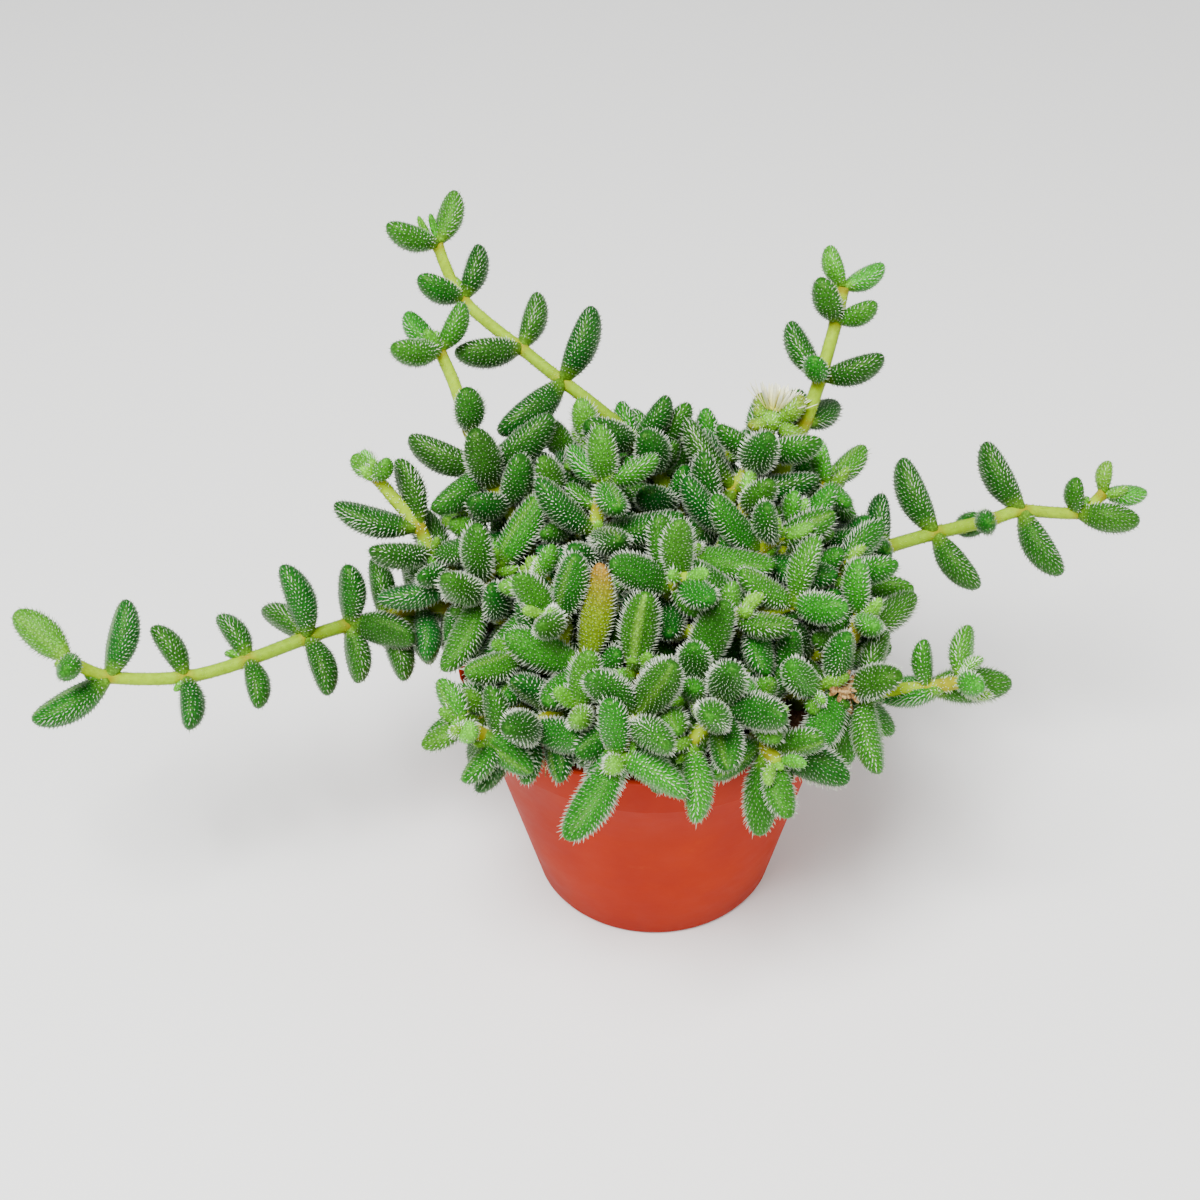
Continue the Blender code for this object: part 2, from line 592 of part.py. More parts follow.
def add_leaves(room, shoots, rank):
    """Places one rank of the leaves that the shoots want, as far as there is room."""
    for shoot in shoots:
        for base, reach, tangent in shoot["wanted"][rank]:
            leaf = place_leaf(room, shoot["owner"], base, reach, tangent)
            if leaf:
                shoot["leaves"].append(leaf)


def lay_out_plant():
    """Every shoot with its stems and its leaves."""
    draw = random.Random(SEED)
    room = Room()
    shoots = lay_out_shoots(room, draw)
    add_leaves(room, shoots, 0)
    lay_out_inner_shoots(room, shoots, draw)
    add_leaves(room, shoots[len(SHOOTS):], 0)
    add_leaves(room, shoots, 1)
    add_leaves(room, shoots, 2)
    leafy = [shoot for shoot in shoots[len(SHOOTS):] if len(shoot["leaves"]) > 1]
    for index, shoot in enumerate(leafy):
        shoot["name"] = f"inner_shoot_{index + 1:02d}"
    return shoots[:len(SHOOTS)] + leafy


# Solids

def make_material(name, colour, roughness):
    """A plain Principled material."""
    made = bpy.data.materials.new(name)
    made.use_nodes = True
    shader = made.node_tree.nodes["Principled BSDF"]
    shader.inputs["Base Color"].default_value = (*colour, 1.0)
    shader.inputs["Roughness"].default_value = roughness
    return made


def new_object(name, points, faces, finish):
    """An object of triangles from points in millimetres, its faces turned outwards."""
    mesh = bpy.data.meshes.new(name)
    mesh.from_pydata([tuple(float(value) * MM for value in point) for point in points], [], faces)
    work = bmesh.new()
    work.from_mesh(mesh)
    bmesh.ops.triangulate(work, faces=work.faces)
    bmesh.ops.recalc_face_normals(work, faces=work.faces)
    work.to_mesh(mesh)
    work.free()
    mesh.materials.append(finish)
    thing = bpy.data.objects.new(name, mesh)
    bpy.context.scene.collection.objects.link(thing)
    return thing


def boolean(body, others, operation):
    """Joins the others to the body or cuts them from it, and removes them."""
    tools = bpy.data.collections.new(body.name + "_tools")
    bpy.context.scene.collection.children.link(tools)
    for other in others:
        bpy.context.scene.collection.objects.unlink(other)
        tools.objects.link(other)
    step = body.modifiers.new(operation.lower(), "BOOLEAN")
    step.operation = operation
    step.operand_type = "COLLECTION"
    step.collection = tools
    graph = bpy.context.evaluated_depsgraph_get()
    mesh = bpy.data.meshes.new_from_object(body.evaluated_get(graph))
    body.modifiers.clear()
    body.data = mesh
    for other in others:
        bpy.data.objects.remove(other)
    bpy.data.collections.remove(tools)
    keep_largest_body(mesh)


def keep_largest_body(mesh):
    """Drops loose scraps and sealed hollows, so that one closed body is left."""
    work = bmesh.new()
    work.from_mesh(mesh)
    bmesh.ops.triangulate(work, faces=work.faces)
    waiting = set(work.faces)
    bodies = []
    while waiting:
        front = [waiting.pop()]
        body = list(front)
        while front:
            near = {other for edge in front.pop().edges for other in edge.link_faces} & waiting
            waiting -= near
            front.extend(near)
            body.extend(near)
        bodies.append((abs(sum(face_volume(face) for face in body)), len(bodies), body))
    for item in sorted(bodies, key=lambda item: item[:2])[:-1]:
        bmesh.ops.delete(work, geom=item[2], context="FACES")
    work.to_mesh(mesh)
    work.free()


def face_volume(face):
    """Signed volume between a triangle and the origin."""
    first, second, third = (corner.co for corner in face.verts)
    return first.dot(second.cross(third)) / 6.0


def ring(centre, first, second, radii, flat=1.0):
    """Points round a centre, one for each radius."""
    turns = [2.0 * math.pi * index / len(radii) for index in range(len(radii))]
    return [centre + radius * (first * math.cos(turn) + second * math.sin(turn) * flat)
            for turn, radius in zip(turns, radii)]


def ring_faces(low, sides):
    """Faces between the ring that starts at low and the next one."""
    return [(low + k, low + (k + 1) % sides, low + sides + (k + 1) % sides, low + sides + k)
            for k in range(sides)]


def tube(points, start_radius, end_radius, sides):
    """Points and faces of a round stem with closed ends."""
    spots = []
    faces = []
    side = across(unit(points[1] - points[0]), np.array((1.0, 0.0, 0.0)))
    for index, point in enumerate(points):
        along = unit(points[min(index + 1, len(points) - 1)] - points[max(index - 1, 0)])
        side = across(along, side)
        radius = start_radius + (end_radius - start_radius) * index / (len(points) - 1)
        spots.extend(ring(point, side, np.cross(along, side), [radius] * sides))
        if index:
            faces.extend(ring_faces((index - 1) * sides, sides))
    faces.append(tuple(range(sides)))
    faces.append(tuple(range(len(spots) - sides, len(spots))))
    return spots, faces


def end_fans(count, sides):
    """Faces that close a body of rings whose first and last points are its ends."""
    last = 1 + (count - 1) * sides
    low = [(0, 1 + k, 1 + (k + 1) % sides) for k in range(sides)]
    return low + [(last + sides, last + k, last + (k + 1) % sides) for k in range(sides)]


def leaf_solid(leaf, rings, sides):
    """Points and faces of a leaf: rings between two ends, with a coarse bristle at every third
    corner or so."""
    out = unit(leaf["reach"])
    side = unit(np.cross(out, leaf["upper"]))
    fuller = 1.0 / math.sqrt(math.cos(math.pi / sides))
    spots = [leaf["base"] - out * LEAF_SUNK]
    faces = end_fans(len(rings), sides)
    for index, along in enumerate(rings):
        radius = leaf["radius"] * leaf_profile(along) * fuller
        radii = [radius + BRISTLE * ((2 * k + index) % sides < 2) for k in range(sides)]
        spots.extend(ring(leaf_point(leaf, along), side, leaf["upper"], radii, LEAF_FLAT))
        if index:
            faces.extend(ring_faces(1 + (index - 1) * sides, sides))
    spots.append(leaf_point(leaf, 1.0))
    return spots, faces


def build_shoot(shoot, finish):
    """A leafy shoot: its stems and its leaves in one solid."""
    sides = INNER_STEM_SIDES if shoot["inner"] else STEM_SIDES
    rings = INNER_LEAF_RINGS if shoot["inner"] else LEAF_RINGS
    leaf_sides = LEAF_SIDES if shoot["name"] in SHOOTS else INNER_LEAF_SIDES
    pieces = []
    for index, stem in enumerate(shoot["stems"]):
        slimmer = 1.0 - 0.08 * index
        spots, faces = tube(coarse(stem), STEM_RADIUS * slimmer, STEM_TIP_RADIUS * slimmer, sides)
        pieces.append(new_object(shoot["name"], spots, faces, finish))
    for leaf in shoot["leaves"]:
        pieces.append(new_object(shoot["name"] + "_leaf", *leaf_solid(leaf, rings, leaf_sides), finish))
    for spots, faces in shoot["cups"]:
        pieces.append(new_object(shoot["name"] + "_cup", spots, faces, finish))
    boolean(pieces[0], pieces[1:], "UNION")


def turned_body(name, profile, sides, finish):
    """A solid turned round the Z axis from a profile that starts and ends on it."""
    work = bmesh.new()
    spots = [work.verts.new((radius * MM, 0.0, height * MM)) for radius, height in profile]
    edges = [work.edges.new(pair) for pair in zip(spots, spots[1:])]
    bmesh.ops.spin(work, geom=spots + edges, cent=(0, 0, 0), axis=(0, 0, 1), angle=2.0 * math.pi,
                   steps=sides)
    bmesh.ops.remove_doubles(work, verts=work.verts, dist=1e-6)
    bmesh.ops.recalc_face_normals(work, faces=work.faces)
    mesh = bpy.data.meshes.new(name)
    work.to_mesh(mesh)
    work.free()
    mesh.materials.append(finish)
    thing = bpy.data.objects.new(name, mesh)
    bpy.context.scene.collection.objects.link(thing)
    return thing


def build_pot(finish):
    """The pot: a thin tapered wall, a collar with a thicker edge, and drain holes in the floor."""
    shoulder = POT_HEIGHT - COLLAR_HEIGHT
    lip = POT_HEIGHT - RIM_LIP
    profile = [(0.0, 0.0), (BASE_RADIUS - BASE_CHAMFER, 0.0), (pot_radius(BASE_CHAMFER), BASE_CHAMFER),
               (pot_radius(shoulder - 0.01), shoulder), (pot_radius(shoulder), shoulder + RIM_ROUND),
               (pot_radius(lip), lip), (RIM_RADIUS, lip + RIM_ROUND),
               (RIM_RADIUS - RIM_ROUND, POT_HEIGHT), (pot_radius(POT_HEIGHT) - POT_WALL, POT_HEIGHT),
               (pot_radius(shoulder + POT_WALL) - POT_WALL, shoulder + POT_WALL),
               (pot_inside(shoulder), shoulder + 0.5 * POT_WALL),
               (pot_inside(POT_WALL), POT_WALL), (0.0, POT_WALL)]
    pot = turned_body("pot", profile, POT_SIDES, finish)
    drills = []
    for index in range(DRAIN_HOLES):
        turn = 2.0 * math.pi * (index + 0.5) / DRAIN_HOLES
        centre = np.array((DRAIN_CIRCLE * math.cos(turn), DRAIN_CIRCLE * math.sin(turn), 0.0))
        ends = [centre - (0.0, 0.0, 1.0), centre + (0.0, 0.0, POT_WALL + 1.0)]
        drills.append(new_object("drain", *tube(ends, DRAIN_RADIUS, DRAIN_RADIUS, DRAIN_SIDES), finish))
    boolean(pot, drills, "DIFFERENCE")


def build_soil(shoots, finish):
    """The soil: it fills the pot to below its edge, and every stem stands in a hole in it."""
    shrink = math.cos(math.pi / POT_SIDES)
    shoulder = POT_HEIGHT - COLLAR_HEIGHT
    turns = [2.0 * math.pi * index / SOIL_SECTORS for index in range(SOIL_SECTORS)]
    floor = POT_WALL + GAP
    spots = [(0.0, 0.0, floor)]
    for height in (floor, shoulder + 0.5 * POT_WALL + GAP, shoulder + POT_WALL + GAP):
        radius = (pot_inside(height) - GAP) * shrink
        spots.extend((radius * math.cos(turn), radius * math.sin(turn), height) for turn in turns)
    edge = (pot_inside(SOIL_LEVEL) - GAP) * shrink
    for index in range(SOIL_RINGS):
        radius = edge * (1.0 - index / SOIL_RINGS)
        for turn in turns:
            x = radius * math.cos(turn)
            y = radius * math.sin(turn)
            spots.append((x, y, soil_height(x, y)))
    spots.append((0.0, 0.0, soil_height(0.0, 0.0)))
    count = 3 + SOIL_RINGS
    faces = end_fans(count, SOIL_SECTORS)
    for index in range(count - 1):
        faces.extend(ring_faces(1 + index * SOIL_SECTORS, SOIL_SECTORS))
    soil = new_object("soil", spots, faces, finish)
    boolean(soil, [stem_hole(shoot, finish) for shoot in shoots], "DIFFERENCE")


def stem_hole(shoot, finish):
    """A cutter along the buried foot of a shoot, a little wider and deeper than the stem."""
    stem = coarse(shoot["stems"][0])
    sides = INNER_STEM_SIDES if shoot["inner"] else STEM_SIDES
    foot = [point for index, point in enumerate(stem) if not index or stem[index - 1][2] < HOLE_TOP]
    foot = np.array(foot)
    foot[0] -= unit(foot[1] - foot[0]) * GAP
    radius = STEM_RADIUS + GAP / math.cos(math.pi / sides)
    return new_object("hole", *tube(foot, radius, radius, sides), finish)


def star(base, axis, spokes, rings):
    """Points and faces of a lobed body on an axis. Each ring is a height and a radius, what its
    lobes add to both, and whether they are on the even spokes (0) or on the odd ones (1)."""
    first = across(axis, np.array((1.0, 0.0, 0.0)))
    second = np.cross(axis, first)
    spots = [base + axis * rings[0][0]]
    faces = end_fans(len(rings), spokes)
    for index, (height, radius, reach, lift, odd) in enumerate(rings):
        lobes = [k % 2 == odd for k in range(spokes)]
        around = ring(base + axis * height, first, second, [radius + reach * lobe for lobe in lobes])
        spots.extend(spot + axis * lift * lobe for spot, lobe in zip(around, lobes))
        if index:
            faces.extend(ring_faces(1 + (index - 1) * spokes, spokes))
    spots.append(base + axis * rings[-1][0])
    return spots, faces


def build_all():
    """Every piece, from the pot up."""
    for thing in list(bpy.data.objects):
        bpy.data.objects.remove(thing)
    shoots = lay_out_plant()
    build_pot(make_material("pot_plastic", (0.52, 0.09, 0.03), 0.45))
    build_soil(shoots, make_material("soil", (0.07, 0.035, 0.02), 0.95))
    green = make_material("leaf_green", (0.05, 0.2, 0.03), 0.5)
    for shoot in shoots:
        build_shoot(shoot, green)
    by_name = {shoot["name"]: shoot for shoot in shoots}
    end, axis = stem_end(by_name["flower_shoot"], 0)
    cream = make_material("petal_cream", (0.9, 0.87, 0.6), 0.5)
    new_object("bloom", *star(end + axis * (GREEN_CUP[-1][0] + GAP), axis, PETAL_SPOKES, BLOOM), cream)
    end, axis = stem_end(by_name["shoot_lower_right"], 1)
    brown = make_material("dry_brown", (0.25, 0.13, 0.06), 0.8)
    new_object("dry_seed_cup", *star(end + axis * GAP, axis, CUP_SPOKES, DRY_CUP), brown)


build_all()
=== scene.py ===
import math
import random

import bmesh
import bpy
import numpy as np
from mathutils import Matrix, Vector, noise


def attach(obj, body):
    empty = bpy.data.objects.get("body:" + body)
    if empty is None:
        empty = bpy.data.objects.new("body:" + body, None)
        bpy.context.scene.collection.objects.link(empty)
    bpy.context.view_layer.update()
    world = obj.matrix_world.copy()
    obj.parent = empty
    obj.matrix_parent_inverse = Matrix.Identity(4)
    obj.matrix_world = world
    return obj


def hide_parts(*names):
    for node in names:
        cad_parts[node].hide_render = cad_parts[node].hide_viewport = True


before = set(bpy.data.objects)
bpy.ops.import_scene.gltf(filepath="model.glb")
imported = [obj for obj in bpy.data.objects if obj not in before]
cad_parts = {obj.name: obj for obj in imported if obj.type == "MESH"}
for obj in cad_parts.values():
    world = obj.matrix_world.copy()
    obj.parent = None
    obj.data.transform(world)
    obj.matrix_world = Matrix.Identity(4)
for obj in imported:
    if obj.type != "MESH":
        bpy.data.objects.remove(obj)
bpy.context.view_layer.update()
mm = 0.001
print("frame loaded:", len(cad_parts), "nodes")


# The plant's layout: the same shoots and leaves as the solids, all in millimetres

potForm = {  # a nursery pot of 85 mm
    "height": 63.0, "edgeRadius": 42.5, "edgeHeight": 1.6, "edgeStep": 0.7, "collarHeight": 11.0,
    "collarTaper": 0.9, "collarStep": 1.5, "baseRadius": 27.0, "wall": 1.2, "gap": 0.3,
    "drainHoles": 4, "drainRadius": 2.2, "drainCircle": 17.0, "segments": 128
}
soilForm = {"level": 57.0, "crown": 2.5, "lump": 0.7, "rootDepth": 5.0, "holeTop": 61.0}
stemForm = {"radius": 1.45, "tipRadius": 1.05, "clearance": 0.9, "ballStep": 2.0}
leafForm = {  # plump and blunt, with a narrow neck
    "length": 17.0, "radius": 3.2, "growth": 0.6, "neck": 0.42, "widest": 0.55, "blunt": 2.4, "full": 1.0,
    "flat": 0.9, "sag": 0.22, "space": 0.8, "ballPlaces": (0.15, 0.3, 0.45, 0.6, 0.75, 0.9), "outerFrom": 0.4
}
moundForm = {  # shoots that fill the mound
    "centre": (-1.0, 5.0), "foot": 62.0, "layers": ((38, 36.0, 45.0), (10, 18.0, 40.0)), "stemTries": 24,
    "skirtShoots": 14, "skirtRadius": 49.0, "skirtHeight": 71.0, "rootSpread": 27.0, "rootPitch": 4.6,
    "pairReach": 26.0, "tipSpace": 9.8,
    "tuftPairs": ((2.5, 12.0, 42.0), (8.5, 16.5, 60.0), (17.0, 16.5, 72.0)),  # below the tip, length, spread
    "lowerPairs": (8.5, 16.0), "lowerLength": 15.0, "lowerSpread": 65.0, "lowerTop": 86.0, "seed": 7
}
keptRoom = {  # for the bloom and the dry cup: number of the stem, height above its end, radius
    "flower_shoot": ((0, 2.4, 5.2), (0, 8.5, 5.5)), "shoot_lower_right": ((1, 2.2, 3.6),)
}
potTop, edgeRadius, wall, slack = (potForm[key] for key in ("height", "edgeRadius", "wall", "gap"))
shoulder = potTop - potForm["collarHeight"]
collarRadius = edgeRadius - potForm["edgeStep"]
goldenAngle = math.pi * (3.0 - math.sqrt(5.0))
xAxis, yAxis, zAxis = np.eye(3)
noGap = 100.0  # stands for nothing near

# Each shoot's route from its root to its tip, then its leaves: the route point that each grows from and its
# reach to the right, back and up. The stalk of the dry cup comes last
shootPlans = {
    "trailing_shoot_left": (
        [(-29, 9, 54), (-33, 9, 61), (-40, 9, 66.5), (-50, 9, 67.5), (-59, 8, 65.5), (-66, 4, 67),
         (-74.5, 0, 67), (-87, -4, 64.5), (-100, -8, 63.5), (-115, -12, 67.5), (-122, -14, 74.5)],
        [(10, -11, 7, 7), (10, 2, -9, 4), (9, 4, 11, 12), (9, -15, -9, -4), (8, -10, 4, 9), (8, 2, -12, -4),
         (7, -7, 9, 5), (7, 3, -11, -4), (6, -4, 5, 16), (6, -9, 7, 7), (6, 5, -12, -6), (5, 1, 3, 14),
         (5, 2, -8, -10), (4, 5, -12, -8), (4, -2, 10, 9)]),
    "arching_shoot_back": (
        [(8, 17, 54), (8, 19, 68), (5, 23, 84), (-3, 30, 95), (-12, 35, 102), (-18.5, 39, 105.5),
         (-27.5, 45, 110.5), (-40, 52, 119), (-45, 57, 130)],
        [(8, -10, -4, 7), (8, 4, 9, 8), (7, -9, -2, 7), (7, 4, 8, 9), (6, -14, -6, 3), (6, 4, 10, 8),
         (5, 7, 8, 14), (5, -14, -12, -5)]),
    "upright_shoot_left": (
        [(-14, 8, 54), (-18, 9, 66), (-25, 11, 80), (-31, 14, 91), (-35.5, 20, 96), (-38.5, 26, 102),
         (-41.5, 32, 110), (-44.5, 36, 116)],
        [(7, -9, -8, 6), (7, -7, 6, 6), (7, 2, 8, 8), (7, 8, 8, 3), (5, 0, -2, 12), (4, -16, 4, 6),
         (4, -14, -7, 2), (4, 15, 2, 12), (3, -9, -5, 8)]),
    "tuft_left": (
        [(-22, 1, 54), (-26, 2, 64), (-34, 4, 72), (-42, 6.5, 77), (-47, 8.5, 83), (-49.5, 10, 88.5),
         (-54, 12, 94), (-58, 14, 99)],
        [(7, -5, 5, 2), (7, 3, -3, 6), (5, -16, 1, 5), (5, -2, 8, 11), (5, 6, -3, 10), (4, -11, -7, 6),
         (4, 9, -6, 6), (3, -10, 7, -2), (3, 2, -12, 4)]),
    "flower_shoot": (
        [(6, 8, 54), (7, 9, 66), (11, 12, 79), (18, 18, 91), (24, 23, 96.5), (26, 26, 101)],
        [(3, 16, -3, 4), (3, -14, -9, -10), (3, -9, 8, 11), (4, -11, -3, 3), (4, 10, -8, 4), (4, 1, 11, 6)]),
    "upright_shoot_right": (
        [(18, 20, 54), (22, 22, 72), (28, 25, 88), (33.5, 28, 101), (37, 33, 109), (40.5, 39.5, 119),
         (42, 43, 125)],
        [(6, -3, 4, 8), (6, 9, 4, 3), (5, -4, -1, 11), (5, 6, -4, 7), (4, 13, -2, 6), (4, -11, 6, 6),
         (4, -4, -5, 7), (3, 8, 10, -2)]),
    "shoot_right_back": (
        [(25, 10, 54), (30, 11, 64), (35, 14, 74), (36.5, 18, 82), (38.5, 22, 89)],
        [(4, 8, 8, 3), (4, -3, 3, 8), (4, 3, -9, 1), (4, 10, 1, -6), (3, -5, -8, 1), (3, -6, 10, 2)]),
    "trailing_shoot_right": (
        [(29, 19, 54), (33, 19, 63), (39, 18.5, 68.5), (46, 18, 70.5), (52, 21, 71.5), (63.5, 24, 73),
         (76, 27, 74), (83.5, 29, 75), (96.5, 31, 72.5), (102.5, 33, 76.5)],
        [(9, 1, 4, 6), (9, 10, 1, -1), (8, -1, 1, 9), (8, 13, -5, 1), (7, -8, 10, 12), (7, 8, -11, -10),
         (6, -2, -8, 5), (6, -6, 5, -6), (5, -7, 11, 13), (5, 9, -10, -8), (4, -1, -8, 5), (4, 5, 9, 7)]),
    "shoot_lower_right": (
        [(27, -14, 54), (32, -17, 62), (38, -20, 67), (43, -22, 67.5), (55, -25, 71), (61.5, -27, 74)],
        [(5, 2, 9, 6), (5, 2, -7, 5), (4, -1, 3, 9), (4, 17, 2, -1), (3, 3, 10, 7), (3, 1, -15, -7)],
        [(38, -20, 67), (38, -22, 68.6), (38, -23.5, 70.2)]),
    "shoot_lower_left": (
        [(-16, -20, 54), (-18, -24, 63), (-20, -28, 68.5), (-26, -34, 70.5), (-32.5, -38, 71.5),
         (-39, -40, 77)],
        [(5, -4, 6, 6), (5, 2, -6, 3), (5, -7, -3, -3), (4, -1, 3, 10), (4, -6, -8, -3), (3, 12, -3, 7),
         (3, 1, -10, -3)]),
    "shoot_front": (
        [(-3, -22, 54), (-3, -27, 66), (-4, -35, 76), (-6.5, -44, 78.5), (-9, -49, 76)],
        [(4, -9, -12, -8), (4, 12, -8, -2), (4, -1, 2, 12), (4, 8, 1, 5), (4, -2, -7, 4), (3, -10, -2, 7),
         (2, 6, -12, 4)]),
}
moundPlans = [  # the same for shoots of the mound, which are only numbered
    ([(-5.5, 2, 54), (-9.5, 2, 77.5), (-12, 2, 92), (-10, 8, 100.5)],
     [(2, -10.5, 1, 12), (2, 16.5, -3, 5.5), (3, -0.5, 1.5, 12), (3, 2.5, -12, 2.5), (3, -5, 8, 6),
      (3, 7, 4, 8)]),
    ([(-6.5, 15.5, 54), (-9.5, 24, 80), (-12.5, 30, 95.5)],
     [(2, -2, 0.5, 10), (2, -5.5, -8, 2.5), (2, 9, -5, 8)]),
    ([(-16.5, -1, 54), (-28, -3, 69), (-36.5, -2, 79.5), (-33.5, 1, 84)],
     [(2, -8.5, -13, -6.5), (3, 8, 6, 13.5)]),
    ([(-10.5, -2.5, 54), (-18, -6, 72), (-23.5, -8, 82), (-24.5, -6, 87)],
     [(2, -5.5, -11.5, -5.5), (2, 8, -4.5, 10), (3, -6.5, -6, 2.5), (3, 2, -4.5, 6.5)]),
    ([(-8.5, -10, 54), (-11.5, -19, 69.5), (-15, -25, 78.5)],
     [(2, 3, 5, 16.5), (2, -7, -10.5, 0.5), (2, -14, -5, 5.5)]),
    ([(-2, -10.5, 54), (-4, -20, 69.5), (-5, -26, 78)],
     [(2, 2.5, 3, 16), (2, -8.5, -8, -1.5)]),
    ([(3.5, -10.5, 54), (6, -20.5, 68.5), (7.5, -27, 77), (6, -33, 76.5)],
     [(2, 5.5, 2.5, 15.5), (2, -10, -9, 4), (3, -3.5, -4.5, 7.5), (3, 1.5, -6, 5)]),
    ([(9.5, -5.5, 54), (16.5, -10.5, 71.5), (21, -14, 81.5), (28.5, -13, 84)],
     [(2, -14, 2.5, 11.5), (2, 0.5, -13.5, -2.5), (3, -10.5, -1.5, 9), (3, -4, 3.5, 12.5), (3, 8, -7.5, 7),
      (3, 1, 2.5, 10.5)]),
    ([(18, -4.5, 54), (31.5, -9, 66), (40, -12, 72), (42.5, -10, 78)],
     [(2, -7, -3.5, 4.5), (3, -0.5, 2.5, 11.5), (3, -7.5, -0.5, 11), (3, 2.5, -6, 7.5)]),
    ([(5.5, -18.5, 54), (9.5, -28.5, 69), (12, -37, 77.5), (5.5, -44, 74.5)],
     [(2, 0.5, -14, -2), (2, -9.5, -8, 3), (3, 3.5, -14, -2.5), (3, 9, -13, -2.5)]),
    ([(15, -10, 54), (26, -19, 65), (33, -25, 71)],
     [(2, -11, -2.5, 8.5), (2, 4.5, -3.5, 9.5), (2, 1.5, -9, -1.5)]),
    ([(-0.5, 13.5, 54), (-1.5, 25, 76), (-2, 34, 89.5)],
     [(2, 10, -2, 11), (2, 9, -9, 1), (2, -4, 3, 10)]),
    ([(3, 1, 54), (5.5, 0.5, 75.5), (7, 0, 88)],
     [(2, -15, -8, -1), (2, 16, -7, 1.5)]),
    ([(-8, -18, 54), (-13, -30, 69.5), (-16, -38, 78.5)],
     [(2, 0.5, -8.5, 2.5), (2, -12, 0.5, 5.5), (2, 5, 1, 11)]),
    ([(-1, -15.5, 54), (1, -27.5, 68.5), (0.5, -37, 77.5)],
     [(2, 3, -9, 1.5), (2, -4.5, -1.5, 10), (2, -7, -7.5, -1)]),
    ([(11.5, -14.5, 54), (16, -26, 66.5), (20, -33, 73)],
     [(2, -6.5, -2.5, 7.5), (2, 2, -10.5, 2.5), (2, 5.5, -4.5, 7)]),
    ([(-14, -9, 54), (-22, -15.5, 69), (-27.5, -20, 77.5)],
     [(2, -10, -8, 3), (2, -4, -10, 0), (2, 7, -3.5, 7.5)]),
]
shootPlans.update({f"mound_shoot_{number:02d}": plan for number, plan in enumerate(moundPlans, 1)})


def unit(vector):  # the vector's direction
    return vector / np.linalg.norm(vector)


def across(direction, other):  # the part of other that is square to direction, as a direction
    for way in (other, zAxis, yAxis):
        rest = way - direction * np.dot(way, direction)
        if np.linalg.norm(rest) >= 0.2:
            break
    return unit(rest)


def between(first, second, angle):  # from the first direction towards the second, which is square to it
    return first * math.cos(angle) + second * math.sin(angle)


def onCircle(turn, radius=1.0, height=0.0):
    return np.array((radius * math.cos(turn), radius * math.sin(turn), height))


def smoothRoute(points, steps):  # a smooth curve through the points, with so many steps between neighbours
    spots = [np.array(point, float) for point in points]
    spots = [2 * spots[0] - spots[1]] + spots + [2 * spots[-1] - spots[-2]]
    curve = []
    for a, b, c, d in zip(spots, spots[1:], spots[2:], spots[3:]):
        for step in range(steps):
            t = step / steps
            bend = (2 * a - 5 * b + 4 * c - d) * t * t + (3 * b - a - 3 * c + d) * t ** 3
            curve.append(0.5 * (2 * b + (c - a) * t + bend))
    curve.append(spots[-2])
    return np.array(curve)


def leafProfile(along, form):  # share of the widest radius at a place, 0 at the stem and 1 at the tip
    swell = math.sin(0.5 * math.pi * min(max(along, 0.0) / form["widest"], 1.0))
    tip = max(0.0, (along - form["widest"]) / (1.0 - form["widest"]))
    body = leafForm["neck"] + (form["full"] - leafForm["neck"]) * swell
    return body * math.sqrt(max(0.0, 1.0 - tip ** form["blunt"]))


def potRadius(height):  # the pot's outer radius at a height
    if height >= shoulder:
        return collarRadius - potForm["collarTaper"] * (potTop - height) / potForm["collarHeight"]
    foot, top = potForm["baseRadius"], collarRadius - potForm["collarTaper"] - potForm["collarStep"]
    return foot + (top - foot) * max(height, 0.0) / shoulder


def potInside(height):  # the pot's inner radius at a height: the inner step lies a wall's thickness higher
    return potRadius(shoulder - 0.01 if shoulder <= height < shoulder + wall else height) - wall


def soilHeight(x, y):  # the soil's uneven top
    away = math.hypot(x, y) / edgeRadius
    lumps = math.sin(0.31 * x + 1.3) * math.cos(0.27 * y) + math.sin(0.21 * (x + y))
    return soilForm["level"] + soilForm["crown"] * (1.0 - away * away) + soilForm["lump"] * lumps


def potClearance(centres, radii):  # least distance of the balls to the pot's wall and to the soil
    least = noGap
    for (x, y, z), radius in zip(centres, radii):
        away = math.hypot(x, y)
        if z > potTop:
            edge = math.hypot(max(collarRadius - wall - away, away - edgeRadius, 0.0), z - potTop)
        elif away > edgeRadius - wall:
            edge = away - (edgeRadius if z > potTop - potForm["edgeHeight"] - radius else potRadius(z))
        else:
            edge = potRadius(z) - wall - away
        least = min(least, edge - radius - slack)
        if away < edgeRadius:
            least = min(least, z - radius - soilHeight(x, y) - slack)
    return least


# balls that stand for all that is already in place. Each has the shoot that it belongs to, and outer leaf
# parts also keep clear of the leaves of their own shoot
class Room:
    def __init__(self):
        self.centres, self.radii = np.empty((0, 3)), np.empty(0)
        self.owners, self.outer = np.empty(0, int), np.empty(0, bool)

    def add(self, owner, centres, radii, outer):
        self.centres = np.vstack((self.centres, centres))
        self.radii = np.concatenate((self.radii, radii))
        self.owners = np.concatenate((self.owners, np.full(len(radii), owner, int)))
        self.outer = np.concatenate((self.outer, outer))

    def around(self, point, distance):  # what lies within a distance of a point, as a smaller room
        near = np.linalg.norm(self.centres - point, axis=1) < distance
        part = Room()
        part.add(self.owners[near], self.centres[near], self.radii[near], self.outer[near])
        return part

    def clearance(self, owner, centres, radii, outer):  # least gap to the balls that these have to miss
        if not len(self.radii):
            return noGap
        steps = centres[:, None, :] - self.centres[None, :, :]
        gaps = np.sqrt((steps ** 2).sum(axis=2)) - radii[:, None] - self.radii[None, :]
        matter = (self.owners != owner)[None, :] | (outer[:, None] & self.outer[None, :])
        return float(np.where(matter, gaps, noGap).min())


